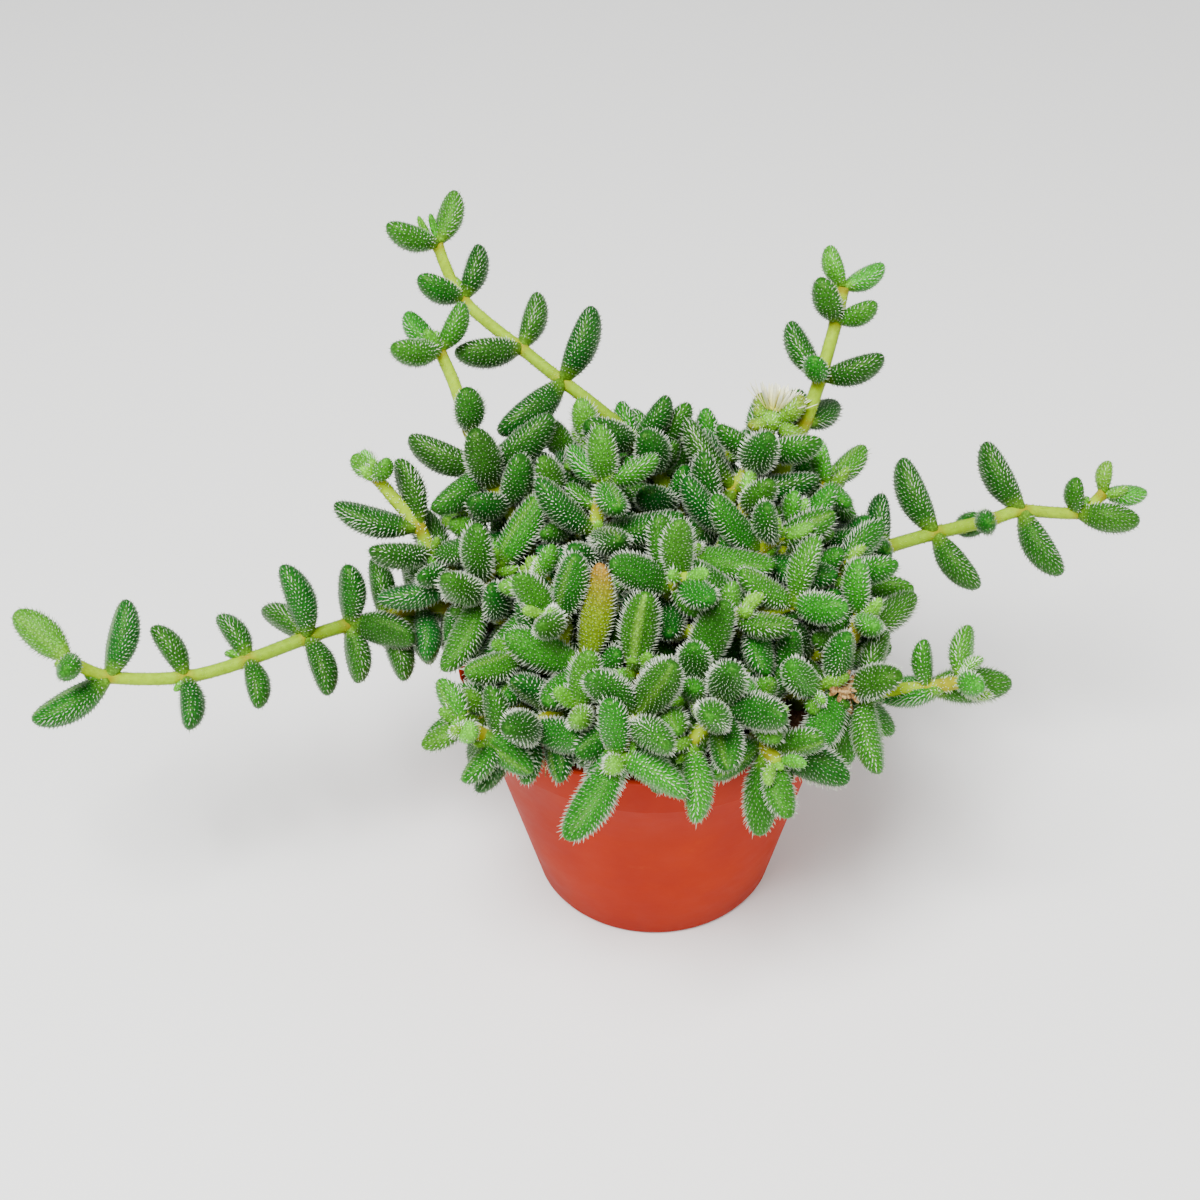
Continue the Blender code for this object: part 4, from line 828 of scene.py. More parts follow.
def growLeaf(pieces, leaf, chance):
    # the leaf's body from the master, then its bristles
    x, y, z = leafCorners.T
    along = 0.5 + 0.5 * z
    share = np.maximum(np.array([leafProfile(place, leafLook) for place in along]), 0.05)
    line = np.clip(1.0 - np.abs(x / share) / leafLook["keelWidth"], 0.0, 1.0) * (y > 0.1) * leaf["keel"]
    pieces.add(onLeaf(leaf, along, x, y), leafTriangles, tones=columns(leaf["age"], leaf["tone"], along, 0.0),
               marks=columns(leaf["hue"], leaf["autumn"], line, 1.0))
    places, turns = bristlePlaces(leaf, chance)
    feet = leafSurface(leaf, places, turns)
    step = 0.02
    lengthwise = leafSurface(leaf, places + step * 0.5, turns) - leafSurface(leaf, places - step, turns)
    crosswise = leafSurface(leaf, places, turns + step) - leafSurface(leaf, places, turns - step)
    normals = np.cross(crosswise, lengthwise)
    middle = onLeaf(leaf, places, 0.0 * places, 0.0 * places)
    normals *= np.sign(np.sum(normals * (feet - middle), axis=1, keepdims=True) + 1e-9)
    normals /= np.maximum(lengths(normals), 1e-9)
    forward = lengthwise / np.maximum(lengths(lengthwise), 1e-9)
    edge = np.exp(-(np.sin(turns) / bristleForm["edgeWidth"]) ** 2)
    sizes = bristleForm["length"] * leaf["fuzz"] * (0.4 + 0.12 * (np.sin(turns) < -0.3) + 0.52 * edge)
    sizes = sizes * np.array([chance.uniform(*bristleForm["sizes"]) for place in places])
    growBristles(pieces, feet, normals, forward, sizes, leaf["white"] * (0.62 + 0.42 * edge), chance,
                 tones=columns(leaf["age"], leaf["tone"], places, 0.0),
                 marks=(leaf["hue"], leaf["autumn"], 0.0, 1.0))


def finishLeaf(leaf, end, chance, youth=0.0):
    # a leaf's age comes from its size and from how far below the shoot's tip it grows
    place = min(1.0, np.linalg.norm(leaf["base"] - end) / leafLook["oldBelow"])
    grown = (leaf["length"] - leafLook["youngLength"]) / (leafLook["oldLength"] - leafLook["youngLength"])
    share, drift, bow = leafLook["placeShare"], leafLook["ageDrift"], leafLook["bow"]
    age = share * place + (1.0 - share) * min(1.0, max(0.0, grown))
    leaf["age"] = min(1.0, max(0.0, age - youth + chance.uniform(-drift, drift)))
    leaf["tone"] = chance.uniform(*leafLook["tones"])
    leaf["hue"] = chance.uniform(0.0, 1.0)
    leaf["fuzz"] = min(1.0, 0.5 + leaf["length"] / 26.0) * chance.uniform(0.9, 1.1)
    leaf["white"] = 1.0
    leaf["sway"] = chance.uniform(-bow, bow)
    spot = leaf["base"] + 0.7 * leaf["reach"]
    hidden = (np.linalg.norm(spot[:2] - moundForm["centre"]) <= bristleForm["hiddenWithin"]
              and spot[2] <= bristleForm["hiddenBelow"])
    leaf["sparse"] = bristleForm["hiddenPitch"] if hidden else 1.0
    leaf.setdefault("autumn", 0.0)
    leaf.setdefault("keel", leafLook["keelStrength"] if chance.random() < leafLook["keelShare"] else 0.0)
    return leaf


def youngLeaves(stem, name, chance):
    # the pair that is opening at a stem's tip
    end, axis = stem[-1], unit(stem[-1] - stem[-2])
    side = across(axis, onCircle(3.0 * end[0], 1.0, 0.3))
    way, share, narrow, girth = youngForm["ways"].get(name, (None, 1.0, 1.0, 1.0))
    if way:
        axis = unit(np.array(way))
        side = across(axis, xAxis)
    young = []
    for half in (1.0, -1.0):
        tilt = math.radians(narrow * youngForm["spread"] * chance.uniform(0.7, 1.3))
        size = share * youngForm["length"] * chance.uniform(0.75, 1.1)
        foot = end - axis * youngForm["apart"] + side * half * youngForm["apart"]
        leaf = makeLeaf(foot, size * between(axis, side * half, tilt), axis)
        leaf["radius"] *= youngForm["slimmer"] * girth
        young.append(finishLeaf(leaf, end, chance, 0.1))
        leaf["fuzz"] = youngForm["fuzz"]
        if chance.random() < youngForm["woolly"]:  # some are still wrapped in white wool
            leaf["sparse"], leaf["white"] = bristleForm["woolPitch"], bristleForm["woolWhite"]
    return young


# Stems

stemLook = {
    "fuller": 1.26, "forkSlimmer": 0.08, "jointSwell": 0.14, "jointLength": 1.2, "jointRing": 0.6,
    "eased": 0.97, "jointColour": 0.6, "oldLength": 90.0, "old": 0.7,
    "darkFrom": 62.0, "darkRun": 8.0, "dark": 0.3,  # brownish near the soil
    "hairFrom": 62.0, "hairPitch": 0.8, "hairLength": 0.5, "shaggier": 1.9, "hairSizes": (0.7, 1.2),
    "hairTone": (0.3, 0.0, 0.0, 0.0), "white": 0.85, "smoothWhite": 0.5
}


def stemTube(points, sizes):
    # a curve with round bevel through the points, made a mesh
    startMesh()
    line = bpy.data.curves.new("stemLine", "CURVE")
    line.dimensions = "3D"
    line.bevel_depth = 1.0
    line.bevel_resolution = 2
    line.use_fill_caps = True
    spline = line.splines.new("POLY")
    spline.points.add(len(points) - 1)
    for spot, point, size in zip(spline.points, points, sizes):
        spot.co = (*point, 1.0)
        spot.radius = size
    thing = bpy.data.objects.new("stemLine", line)
    bpy.context.scene.collection.objects.link(thing)
    startMesh(thing)
    bpy.ops.object.convert(target="MESH")
    return takeMesh()


def growStem(pieces, shoot, index, chance):
    points = smoothRoute(shoot["stems"][index], 3)
    joints = np.array([leaf["base"] for leaf in shoot["leaves"]] or [points[-1]])

    def jointGap(spots):  # distance to the nearest leaf joint
        return np.linalg.norm(spots[:, None, :] - joints[None, :, :], axis=2).min(axis=1)

    swell = 1.0 + stemLook["jointSwell"] * np.exp(-(jointGap(points) / stemLook["jointLength"]) ** 2)
    sizes = (stemLook["fuller"] * (1.0 - stemLook["forkSlimmer"] * index)
             * np.linspace(stemForm["radius"], stemForm["tipRadius"], len(points))) * swell * stemLook["eased"]
    corners, triangles = stemTube(points, sizes)
    ring = np.exp(-((jointGap(corners) - sizes.mean()) / stemLook["jointRing"]) ** 2)
    down = np.linalg.norm(corners - points[-1], axis=1)
    age = (np.clip(down / stemLook["oldLength"], 0.0, stemLook["old"])
           + np.clip((stemLook["darkFrom"] - corners[:, 2]) / stemLook["darkRun"], 0.0, stemLook["dark"]))
    pieces.add(corners, triangles, finish=1, marks=(0.0, 0.0, 0.0, 1.0),
               tones=columns(age, stemLook["jointColour"] * ring, 0.0, 0.0))
    feet, normals, forward = [], [], []
    for low, high, size in zip(points, points[1:], sizes):
        run = np.linalg.norm(high - low)
        if low[2] < stemLook["hairFrom"] or run < 1e-6:
            continue
        axis = (high - low) / run
        side = across(axis, xAxis)
        number = int(run * 2.0 * math.pi * size / stemLook["hairPitch"] ** 2 + chance.random())
        for hair in range(number):
            out = between(side, np.cross(axis, side), chance.uniform(0.0, 2.0 * math.pi))
            feet.append(low + (high - low) * chance.random() + out * size * bristleForm["girth"])
            normals.append(out)
            forward.append(axis)
    if feet:
        bare = shoot["name"] in bristleForm["smoothShoots"]
        length = stemLook["hairLength"] * (1.0 if bare else stemLook["shaggier"])
        sizes = length * np.array([chance.uniform(*stemLook["hairSizes"]) for foot in feet])
        whites = np.full(len(feet), stemLook["smoothWhite" if bare else "white"])
        growBristles(pieces, np.array(feet), np.array(normals), np.array(forward), sizes, whites, chance,
                     finish=1, tones=stemLook["hairTone"])


def growShoot(shoot, chance):
    # one leafy shoot: stems, leaves, the young leaves at its tips and buds, in one mesh
    name = shoot["name"]
    smooth = name in bristleForm["smoothShoots"]  # the long loose shoots have far shorter bristles
    pieces = Pieces()

    def grow(leaf):
        if smooth:
            leaf["fuzz"] *= bristleForm["smoothFuzz"]
            leaf["white"] = bristleForm["smoothWhite"]
        growLeaf(pieces, leaf, chance)

    for index, stem in enumerate(shoot["stems"]):
        growStem(pieces, shoot, index, chance)
        if name != "flower_shoot" and (name, index) != ("shoot_lower_right", 1):
            for leaf in youngLeaves(stem, name, chance):
                grow(leaf)
    for leaf in shoot["leaves"]:
        if not smooth and leaf["length"] > leafLook["longerFrom"]:
            leaf["reach"] = leaf["reach"] * leafLook["longer"]
            leaf["length"] *= leafLook["longer"]
            leaf["radius"] *= leafLook["slimmer"]
        end = min((stem[-1] for stem in shoot["stems"]), key=lambda spot: np.linalg.norm(spot - leaf["base"]))
        grow(finishLeaf(leaf, end, chance))
        if chance.random() < youngForm["budShare"]:
            way = unit(unit(leaf["reach"]) + 0.8 * leaf["upper"])
            reach = way * youngForm["budLength"] * chance.uniform(0.7, 1.1)
            bud = makeLeaf(leaf["base"] + way, reach, leaf["upper"])
            bud["radius"] *= youngForm["slimmer"]
            growLeaf(pieces, finishLeaf(bud, leaf["base"], chance), chance)
    if name == "flower_shoot":
        growGreenCup(pieces, shoot, chance)
    piece = pieces.make("foliage" + name.title().replace("_", ""), [skin, stemSkin])
    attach(piece, "root")
    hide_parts(shoot["name"])
    return piece


# Bloom

bloomForm = {
    "cupHeight": 3.6, "cupRadius": 2.7, "cupSunk": 1.4, "cupYouth": 0.3,
    # the five fleshy sepals, each with its reach to the right, back and up
    "sepals": [(5.4, 1.2, 5.6), (6.4, -4.2, -2.4), (-2.6, 0.6, 2.8), (-1.4, 5.0, 3.4), (-4.4, -3.0, 0.4)],
    "sepalHeight": 1.6, "sepalOut": 1.2, "sepalYellow": 0.5, "sepalYouth": 0.2,
    # whorls from the outside in, the last of them stamens: number, length and spread
    "whorls": [(24, 6.8, 56.0), (18, 6.0, 38.0), (12, 5.2, 22.0), (34, 4.2, 20.0)],
    "petalWidth": 0.5, "petalThick": 0.13, "stamenThick": 0.12, "ring": 1.9, "ringStep": 0.35,
    "curl": (0.04, 0.16), "heartHeight": 0.75, "heartRadius": 2.2, "heartThick": 0.7
}


def growGreenCup(pieces, shoot, chance):
    # a swollen green cup with fleshy sepals, bristly like the leaves
    end, axis = stemEnd(shoot, 0)
    reach = axis * (bloomForm["cupHeight"] + bloomForm["sepalHeight"])
    cup = makeLeaf(end - axis * bloomForm["cupSunk"], reach, across(axis, xAxis))
    cup["radius"] = bloomForm["cupRadius"]
    growLeaf(pieces, finishLeaf(cup, end, chance, bloomForm["cupYouth"]), chance)
    for place in bloomForm["sepals"]:
        out = across(axis, np.array(place))
        foot = end + axis * bloomForm["sepalHeight"] + out * bloomForm["sepalOut"]
        sepal = makeLeaf(foot, np.array(place), axis)
        sepal["autumn"] = bloomForm["sepalYellow"]
        growLeaf(pieces, finishLeaf(sepal, end, chance, bloomForm["sepalYouth"]), chance)


def modelPetal():
    # a flattened ball, narrow at the foot
    modelBody(8, 8, lambda along, angle: 0.5 + 0.5 * math.sin(0.5 * math.pi * along))
    return takeMesh()


def layPetal(corners, foot, reach, upper, width, thick, curl):
    # a petal or lobe from its foot along its reach, curled towards its upper side
    x, y, z = corners.T
    return (foot + np.outer(0.5 + 0.5 * z, reach) + np.outer(x * width, np.cross(unit(reach), upper))
            + np.outer(y * thick, upper) + np.outer(curl, upper))


def buildBloom(shoot, chance, material):
    end, axis = stemEnd(shoot, 0)
    base = end + axis * (bloomForm["cupHeight"] - 0.4)
    side = across(axis, xAxis)
    other = np.cross(axis, side)
    corners, triangles = modelPetal()
    along = 0.5 + 0.5 * corners[:, 2]
    pieces = Pieces()
    for whorl, (number, size, spread) in enumerate(bloomForm["whorls"]):
        width, thick, blue = bloomForm["petalWidth"], bloomForm["petalThick"], np.clip(along + 0.1, 0.0, 1.0)
        if whorl == len(bloomForm["whorls"]) - 1:  # stamens are lemon all along
            width, thick, blue = bloomForm["stamenThick"], bloomForm["stamenThick"], along * 0.05
        for index in range(number):
            turn = 2.0 * math.pi * (index + 0.5 * whorl + chance.uniform(-0.25, 0.25)) / number
            out = between(side, other, turn)
            tilt = math.radians(spread * chance.uniform(0.75, 1.2))
            reach = size * chance.uniform(0.85, 1.15) * between(axis, out, tilt)
            ring = bloomForm["ring"] - bloomForm["ringStep"] * whorl
            foot = base + axis * (0.25 + 0.2 * whorl) + out * ring
            curl = chance.uniform(*bloomForm["curl"]) * size * along ** 2
            spots = layPetal(corners, foot, reach, across(unit(reach), axis), width, thick, curl)
            pieces.add(spots, triangles, tones=columns(0.0, 0.0, blue, 0.0))
    startMesh()
    bpy.ops.mesh.primitive_uv_sphere_add(segments=16, ring_count=8, radius=1.0)
    corners, triangles = takeMesh()
    x, y, z = corners.T
    pieces.add(base + axis * bloomForm["heartHeight"]
               + bloomForm["heartRadius"] * (np.outer(x, side) + np.outer(y, other))
               + bloomForm["heartThick"] * np.outer(z, axis), triangles)
    piece = pieces.make("creamBloom", [material])
    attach(piece, "root")
    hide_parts("bloom")


# Dry seed cup

dryForm = {
    "lobes": 15, "lobeSpread": (8.0, 88.0), "lobeLength": (1.5, 3.3), "lobeCurl": (-0.9, 0.5),
    "lobeWidth": 0.62, "lobeThick": 0.16, "ring": 1.3,
    "rim": 0.45,             # above this the ball is pulled down into itself
    "height": 1.5, "radius": 1.9, "crumple": 0.6, "crumpleScale": 2.3,
    "strip": ((0.6, -1.2, 0.6), (1.6, -2.6, -5.6)), "stripWidth": 0.75, "stripBow": 0.7
}


def buildDryCup(shoot, chance, material):
    # a shrivelled cup: a ball pulled open at the top and crumpled, with curled dead lobes
    end, axis = stemEnd(shoot, 1)
    side = across(axis, xAxis)
    other = np.cross(axis, side)
    pieces = Pieces()
    startMesh()
    bpy.ops.mesh.primitive_ico_sphere_add(subdivisions=4, radius=1.0)
    corners, triangles = takeMesh()
    x, y, z = corners.T
    sunk = np.where(z > dryForm["rim"], 0.9 - 1.3 * z, z)
    rough = np.array([noise.noise(Vector(spot * dryForm["crumpleScale"])) for spot in corners])
    girth = dryForm["radius"] + dryForm["crumple"] * rough
    pieces.add(end + axis * dryForm["radius"] + np.outer(sunk * dryForm["height"], axis)
               + np.outer(x * girth, side) + np.outer(y * girth, other), triangles)
    corners, triangles = modelPetal()
    along = 0.5 + 0.5 * corners[:, 2]
    for index in range(dryForm["lobes"]):
        out = between(side, other, 2.0 * math.pi * (index + chance.uniform(-0.3, 0.3)) / dryForm["lobes"])
        tilt = math.radians(chance.uniform(*dryForm["lobeSpread"]))
        reach = chance.uniform(*dryForm["lobeLength"]) * between(axis, out, tilt)
        curl = chance.uniform(*dryForm["lobeCurl"]) * along ** 2
        pieces.add(layPetal(corners, end + axis * 1.8 + out * dryForm["ring"], reach, across(unit(reach), axis),
                            dryForm["lobeWidth"], dryForm["lobeThick"], curl), triangles)
    foot, tip = (end + np.array(spot) for spot in dryForm["strip"])  # a dead strip that hangs from the cup
    width = dryForm["stripWidth"] * (1.0 + 0.2 * np.sin(9.0 * along))
    pieces.add(layPetal(corners, foot, tip - foot, across(unit(tip - foot), -yAxis), width, 0.3 * width,
                        dryForm["stripBow"] * np.sin(math.pi * along)), triangles)
    piece = pieces.make("witheredCup", [material])
    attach(piece, "root")
    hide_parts("dry_seed_cup")


# Pot

def turnProfile(profile, segments):
    # a ring is extruded from each radius and height to the next, as on a lathe. The open rings are then
    # filled, doubles joined and the faces turned outwards
    startMesh()
    radius, height = profile[0]
    bpy.ops.mesh.primitive_circle_add(vertices=segments, radius=radius * mm, location=(0.0, 0.0, height * mm))
    bpy.ops.object.transform_apply(location=True)
    bpy.ops.object.mode_set(mode="EDIT")
    bpy.ops.mesh.select_all(action="SELECT")
    for (wide, low), (nextWide, nextLow) in zip(profile, profile[1:]):
        bpy.ops.mesh.extrude_region_move(TRANSFORM_OT_translate={"value": (0.0, 0.0, (nextLow - low) * mm)})
        grow = nextWide / wide
        bpy.ops.transform.resize(value=(grow, grow, 1.0), center_override=(0.0, 0.0, nextLow * mm))
    bpy.ops.mesh.select_all(action="DESELECT")
    bpy.ops.mesh.select_non_manifold()
    bpy.ops.mesh.edge_face_add()
    bpy.ops.mesh.select_all(action="SELECT")
    bpy.ops.mesh.remove_doubles(threshold=1e-6)
    bpy.ops.mesh.normals_make_consistent(inside=False)
    bpy.ops.object.mode_set(mode="OBJECT")
    return bpy.context.object


def buildPot(material):
    # radius and height of each ring: out over the base, up the wall, over the edge and down the inside.
    # The edges are eased by a few tenths of a millimetre
    lip = potTop - potForm["edgeHeight"]
    inner = collarRadius - wall
    profile = [(2.0, 0.0), (10.0, 0.0), (potForm["baseRadius"] - 1.2, 0.0), (potRadius(0.4) - 0.35, 0.3)]
    profile += [(potRadius(height), height) for height in (1.2, 20.0, 38.0, shoulder - 0.3)]
    profile += [(potRadius(shoulder - 0.01) + 0.2, shoulder), (potRadius(shoulder) - 0.25, shoulder + 0.15),
                (potRadius(shoulder), shoulder + 0.5), (potRadius(lip - 0.4), lip - 0.4),
                (potRadius(lip - 0.1) + 0.1, lip), (edgeRadius - 0.15, lip + 0.15), (edgeRadius, lip + 0.5),
                (edgeRadius, potTop - 0.5), (edgeRadius - 0.2, potTop - 0.12), (edgeRadius - 0.5, potTop),
                (inner + 0.4, potTop), (inner + 0.1, potTop - 0.1), (inner, potTop - 0.4),
                (potRadius(shoulder + wall) - wall, shoulder + wall), (potInside(shoulder), shoulder + 0.6),
                (potInside(wall), wall), (10.0, wall), (2.0, wall)]
    pot = turnProfile(profile, potForm["segments"])
    for index in range(potForm["drainHoles"]):
        startMesh()
        turn = 2.0 * math.pi * (index + 0.5) / potForm["drainHoles"]
        bpy.ops.mesh.primitive_cylinder_add(vertices=24, radius=potForm["drainRadius"] * mm, depth=6.0 * mm,
                                            location=onCircle(turn, potForm["drainCircle"] * mm))
        drill = bpy.context.object
        startMesh(pot)
        cut = pot.modifiers.new("drain", "BOOLEAN")
        cut.operation = "DIFFERENCE"
        cut.object = drill
        bpy.ops.object.modifier_apply(modifier=cut.name)
        bpy.data.objects.remove(drill)
    bpy.ops.object.shade_smooth_by_angle(angle=math.radians(32.0))
    pot.name = "nurseryPot"
    pot.data.materials.clear()
    pot.data.materials.append(material)
    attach(pot, "root")
    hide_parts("pot")


# Soil

soilLook = {
    "segments": 120, "rings": 22, "ripple": 0.9, "rippleScale": 0.45,
    "crumbs": 420, "crumbSizes": (0.35, 1.5), "lumps": 0.55, "lumpScale": 1.3,
    # dead root threads over the pot's edge: start and end angle in degrees, lowest point, radius
    "threads": [(-56.0, -50.5, 51.5, 0.22), (-59.5, -57.0, 56.5, 0.16), (-123.0, -124.0, 57.5, 0.3),
                (-121.5, -120.0, 59.5, 0.24)],
    "threadSteps": 12, "threadOver": 0.25, "threadLift": 0.6, "threadOut": 0.45
}


def growThread(pieces, start, end, low, size):
    # up from the soil, over the edge and down the pot's wall
    points = []
    over, top = soilLook["threadOver"], potTop + soilLook["threadLift"]
    for step in range(soilLook["threadSteps"] + 1):
        share = step / soilLook["threadSteps"]
        if share < over:
            away, height = edgeRadius - 4.0 + 6.0 * share, soilForm["level"] + 28.0 * share
        else:
            height = top - (top - low) * ((share - over) / (1.0 - over))
            away = max(potRadius(min(height, potTop)), edgeRadius * (height > 61.0)) + soilLook["threadOut"]
        points.append(onCircle(math.radians(start + (end - start) * share ** 1.5), away, height))
    pieces.add(*stemTube(points, np.linspace(size, 0.4 * size, len(points))), finish=1)


def buildSoil(material, husk, chance):
    # a plug with a rough top: rings extruded inwards and lifted, and crumbs strewn over it
    level, rings = soilForm["level"], soilLook["rings"]
    edge = potInside(level) - slack
    floor = wall + slack
    profile = [(2.0, floor), (potInside(floor) - slack, floor), (potInside(shoulder) - slack, shoulder + 0.9),
               (potInside(shoulder + 1.5) - slack, shoulder + 1.5)]
    profile += [(edge * (1.0 - step / rings), level) for step in range(rings)]
    soil = turnProfile(profile, soilLook["segments"])
    for point in soil.data.vertices:
        if point.co.z > (level - 0.01) * mm:
            x, y = point.co.x / mm, point.co.y / mm
            scale = soilLook["rippleScale"]
            ripple = noise.noise(Vector((x * scale, y * scale, 3.0))) + 0.5 * noise.noise(Vector((x, y, 7.0)))
            inside = min(1.0, (edge - math.hypot(x, y)) / 2.0)
            point.co.z = (soilHeight(x, y) + soilLook["ripple"] * ripple * max(0.0, inside)) * mm
    startMesh(soil)
    corners, triangles = takeMesh()
    pieces = Pieces()
    pieces.add(corners / mm, triangles)
    startMesh()
    bpy.ops.mesh.primitive_ico_sphere_add(subdivisions=2, radius=1.0)
    ball, triangles = takeMesh()
    for crumb in range(soilLook["crumbs"]):
        away = (edge - 1.5) * math.sqrt(chance.random())
        place = onCircle(chance.uniform(0.0, 2.0 * math.pi), away)
        size = chance.uniform(*soilLook["crumbSizes"]) * chance.uniform(0.5, 1.0)
        place[2] = soilHeight(*place[:2]) + 0.3 * size
        shift = Vector((chance.uniform(0, 50), chance.uniform(0, 50), 0))
        lumps = np.array([noise.noise(Vector(spot * soilLook["lumpScale"]) + shift) for spot in ball])
        bumps = 1.0 + soilLook["lumps"] * lumps
        stretch = np.array((chance.uniform(0.6, 1.5), chance.uniform(0.6, 1.5), chance.uniform(0.5, 1.0)))
        pieces.add(ball * bumps[:, None] * stretch * size + place, triangles)
    for thread in soilLook["threads"]:
        growThread(pieces, *thread)
    piece = pieces.make("peatSoil", [material, husk])
    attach(piece, "root")
    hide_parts("soil")


# Everything in its place

fillForm = {  # leaves between the solid ones, as far as they fit
    "tighter": 0.75, "sizes": (16.0, 13.5, 11.0, 8.5), "turns": 6, "tilts": (42.0, 80.0),
    "lowest": 62.0, "highest": 97.0, "farthest": 46.0, "nearby": 6.0
}
rimForm = {  # leaves that hang over the pot's edge
    "step": 7.0, "least": 8.0, "most": 19.0, "longest": 16.0, "out": 6.5, "potGap": -0.5, "pressed": 1.1,
    "heights": (54.0, 57.0, 60.0, 62.5, 65.0, 67.5)
}


def stemPlaces(shoots):  # every place inside a stem, with its shoot and the stem's direction there
    return [(shoot, stem[index], unit(stem[index + 1] - stem[index - 1]))
            for shoot in shoots for stem in shoot["stems"] for index in range(1, len(stem) - 1)]


def fillMound(room, shoots, chance):
    # more leaves on the same stems, wherever one still fits between the others
    room.radii -= fillForm["tighter"]
    middle = np.array((*moundForm["centre"], moundForm["foot"] - 6.0))
    for size in fillForm["sizes"]:
        for shoot, base, tangent in stemPlaces(shoots):
            if (not fillForm["lowest"] < base[2] < fillForm["highest"]
                    or np.linalg.norm(base[:2]) > fillForm["farthest"]):
                continue
            first = across(tangent, zAxis)
            start = chance.uniform(0.0, math.pi)
            for step in range(fillForm["turns"]):
                turn = start + 2.0 * math.pi * step / fillForm["turns"]
                tilt = math.radians(chance.uniform(*fillForm["tilts"]))
                out = between(first, np.cross(tangent, first), turn)
                reach = size * chance.uniform(0.92, 1.05) * between(tangent, out, tilt)
                if np.dot(unit(reach), unit(base - middle)) < 0.0:
                    continue
                leaf = makeLeaf(base, reach, tangent)
                gap, balls = leafGap(room.around(base, size + fillForm["nearby"]), shoot["owner"], leaf,
                                     tighter=fillForm["tighter"])
                if gap >= 0.0:
                    room.add(*balls)
                    shoot["leaves"].append(leaf)


def rimLeaf(room, places, spot):
    # the leaf that reaches over the pot's edge to the spot with the most room, from any stem near
    best = None
    for shoot, base, tangent in places:
        away = np.linalg.norm(base - spot)
        if base[2] < potTop or not rimForm["least"] < away < rimForm["most"]:
            continue
        leaf = makeLeaf(base, unit(spot - base) * min(away, rimForm["longest"]), tangent)
        gap, balls = leafGap(room.around(base, away + fillForm["nearby"]), shoot["owner"], leaf,
                             rimForm["potGap"], fillForm["tighter"])
        if gap > -rimForm["pressed"] and (best is None or gap > best[0]):
            best = (gap, leaf, shoot, balls)
    return best


def hangOverRim(room, shoots, chance):
    # leaves of the outer shoots lean over the pot's edge, as low as the edge lets them
    places = stemPlaces(shoots)
    for step in range(int(360.0 / rimForm["step"])):
        turn = math.radians(rimForm["step"] * (step + chance.uniform(-0.3, 0.3)))
        reach = edgeRadius + rimForm["out"] * chance.uniform(0.6, 1.2)
        for height in rimForm["heights"]:
            best = rimLeaf(room, places, onCircle(turn, reach, height))
            if best:
                gap, leaf, shoot, balls = best
                room.add(*balls)
                shoot["leaves"].append(leaf)
                break


def leafCount(shoots):
    return sum(len(shoot["leaves"]) for shoot in shoots)


room, shoots = layOutPlant()
byName = {shoot["name"]: shoot for shoot in shoots}
ageing = byName["mound_shoot_05"]["leaves"][0]  # one ageing leaf, long and yellow with an orange tip
ageing.update({"autumn": 1.0, "reach": ageing["reach"] * 1.18, "length": ageing["length"] * 1.18,
               "radius": ageing["radius"] * 0.88})
byName["mound_shoot_06"]["leaves"][0]["keel"] = 1.0  # one leaf with a strong pale line along it
print("layout:", len(shoots), "shoots,", leafCount(shoots), "leaves")

chance = random.Random(19)
fillMound(room, shoots, chance)
print("mound filled:", leafCount(shoots), "leaves")
hangOverRim(room, shoots, chance)
print("edge hung with leaves:", leafCount(shoots), "leaves")
buildPot(mouldedPolypropylene())
husk = driedHusk()
buildSoil(darkPeat(), husk, chance)
print("pot and soil done")
counts = [len(growShoot(shoot, chance).data.polygons) for shoot in shoots]
print("foliage done:", sum(counts), "triangles, at most", max(counts), "a piece")
buildBloom(byName["flower_shoot"], chance, creamPetal())
buildDryCup(byName["shoot_lower_right"], chance, husk)
print("bloom and dry cup done")


# Studio: pale floor, soft light, and the camera at the photograph's angle

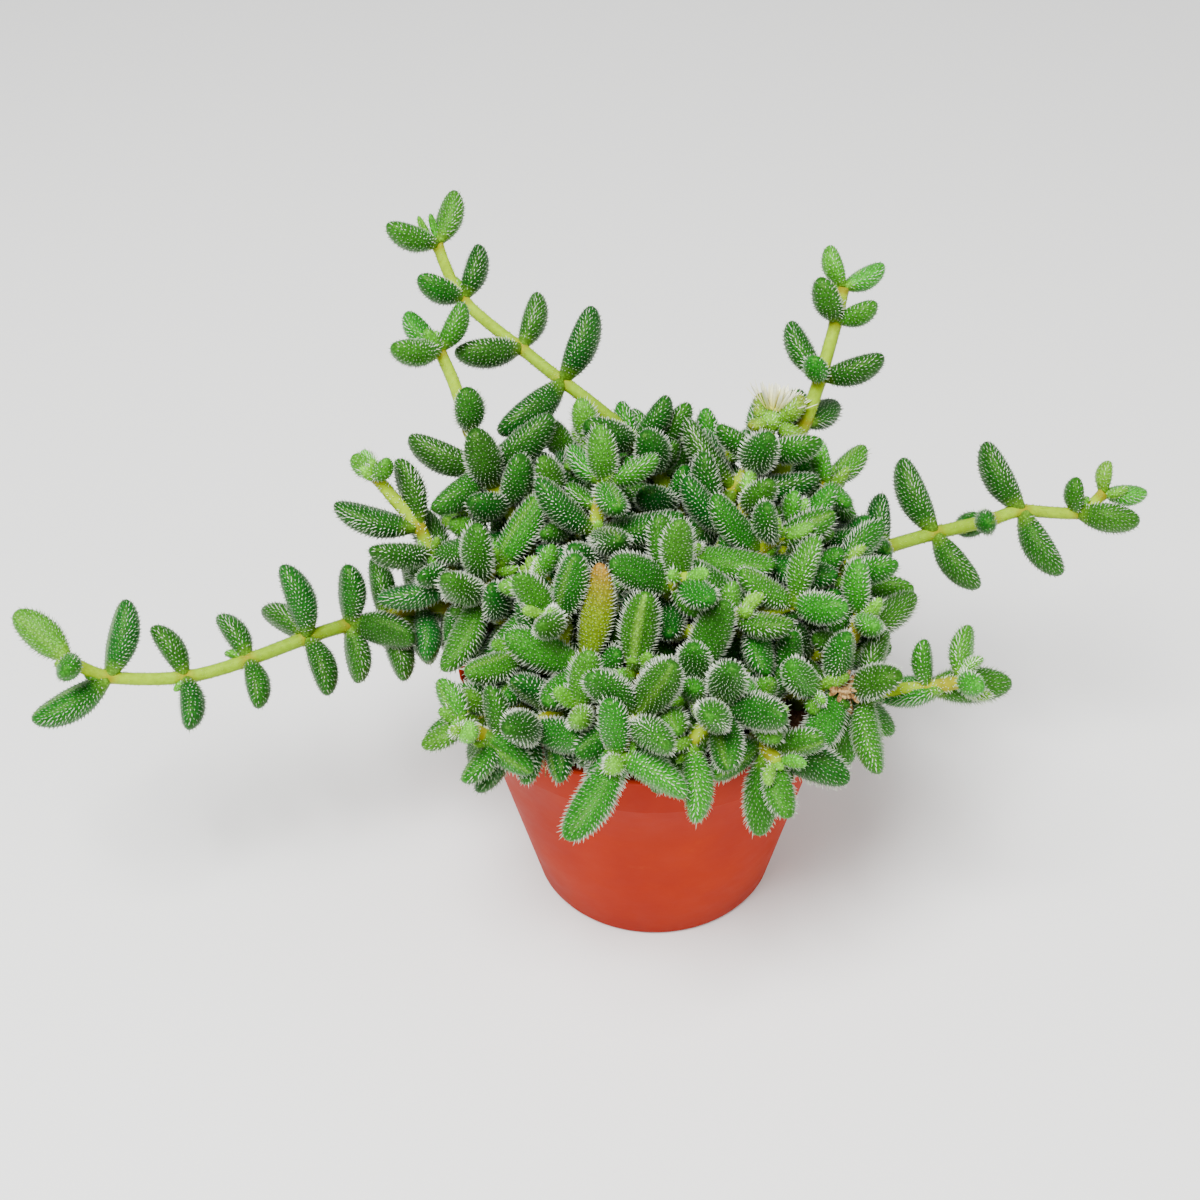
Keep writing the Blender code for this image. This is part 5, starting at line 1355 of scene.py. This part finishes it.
studio = {
    "floorSize": 6.0, "floorColour": "#f6f6f4", "worldColour": "#ffffff", "worldStrength": 0.5,
    "lights": {"keyLight": ((-0.25, -0.4, 1.0), 0.6, 28.5), "fillLight": ((0.7, -0.3, 0.6), 0.9, 4.0)},
    "target": (-0.0114, 0.0, 0.0755), "elevation": 39.0, "roll": -1.31, "distance": 0.42,
    "lens": 1979.0 / 1200.0 * 36.0, "sensor": 36.0
}


def buildStudio():
    startMesh()
    bpy.ops.mesh.primitive_plane_add(size=studio["floorSize"])
    floor = bpy.context.object
    floor.name = "studioFloor"
    paint = {"Roughness": 0.9, "Base Color": hexColour(studio["floorColour"])}
    floor.data.materials.append(newMaterial("paleFloor", paint)[0])
    world = bpy.data.worlds.new("studioWorld")
    world.use_nodes = True
    background = world.node_tree.nodes["Background"]
    background.inputs["Color"].default_value = hexColour(studio["worldColour"])
    background.inputs["Strength"].default_value = studio["worldStrength"]
    bpy.context.scene.world = world
    for name, (place, size, power) in studio["lights"].items():
        startMesh()
        bpy.ops.object.light_add(type="AREA", location=place)
        lamp = bpy.context.object
        lamp.name = name
        lamp.data.shape = "DISK"
        lamp.data.size = size
        lamp.data.energy = power
        away = Vector(place) - Vector(studio["target"])
        lamp.rotation_euler = away.to_track_quat("Z", "Y").to_euler()


def buildCamera():
    elevation, roll = math.radians(studio["elevation"]), math.radians(studio["roll"])
    forward = Vector((0.0, math.cos(elevation), -math.sin(elevation)))
    right = Vector((1.0, 0.0, 0.0))
    up = right.cross(forward)
    axes = (between(right, up, roll), between(up, -right, roll), -forward)
    data = bpy.data.cameras.new("photoCamera")
    data.lens = studio["lens"]
    data.sensor_width = studio["sensor"]
    data.clip_start = 0.01
    camera = bpy.data.objects.new("photoCamera", data)
    place = Vector(studio["target"]) - forward * studio["distance"]
    camera.matrix_world = Matrix.Translation(place) @ Matrix(axes).transposed().to_4x4()
    bpy.context.scene.collection.objects.link(camera)
    bpy.context.scene.camera = camera


buildStudio()
buildCamera()
print("studio done")
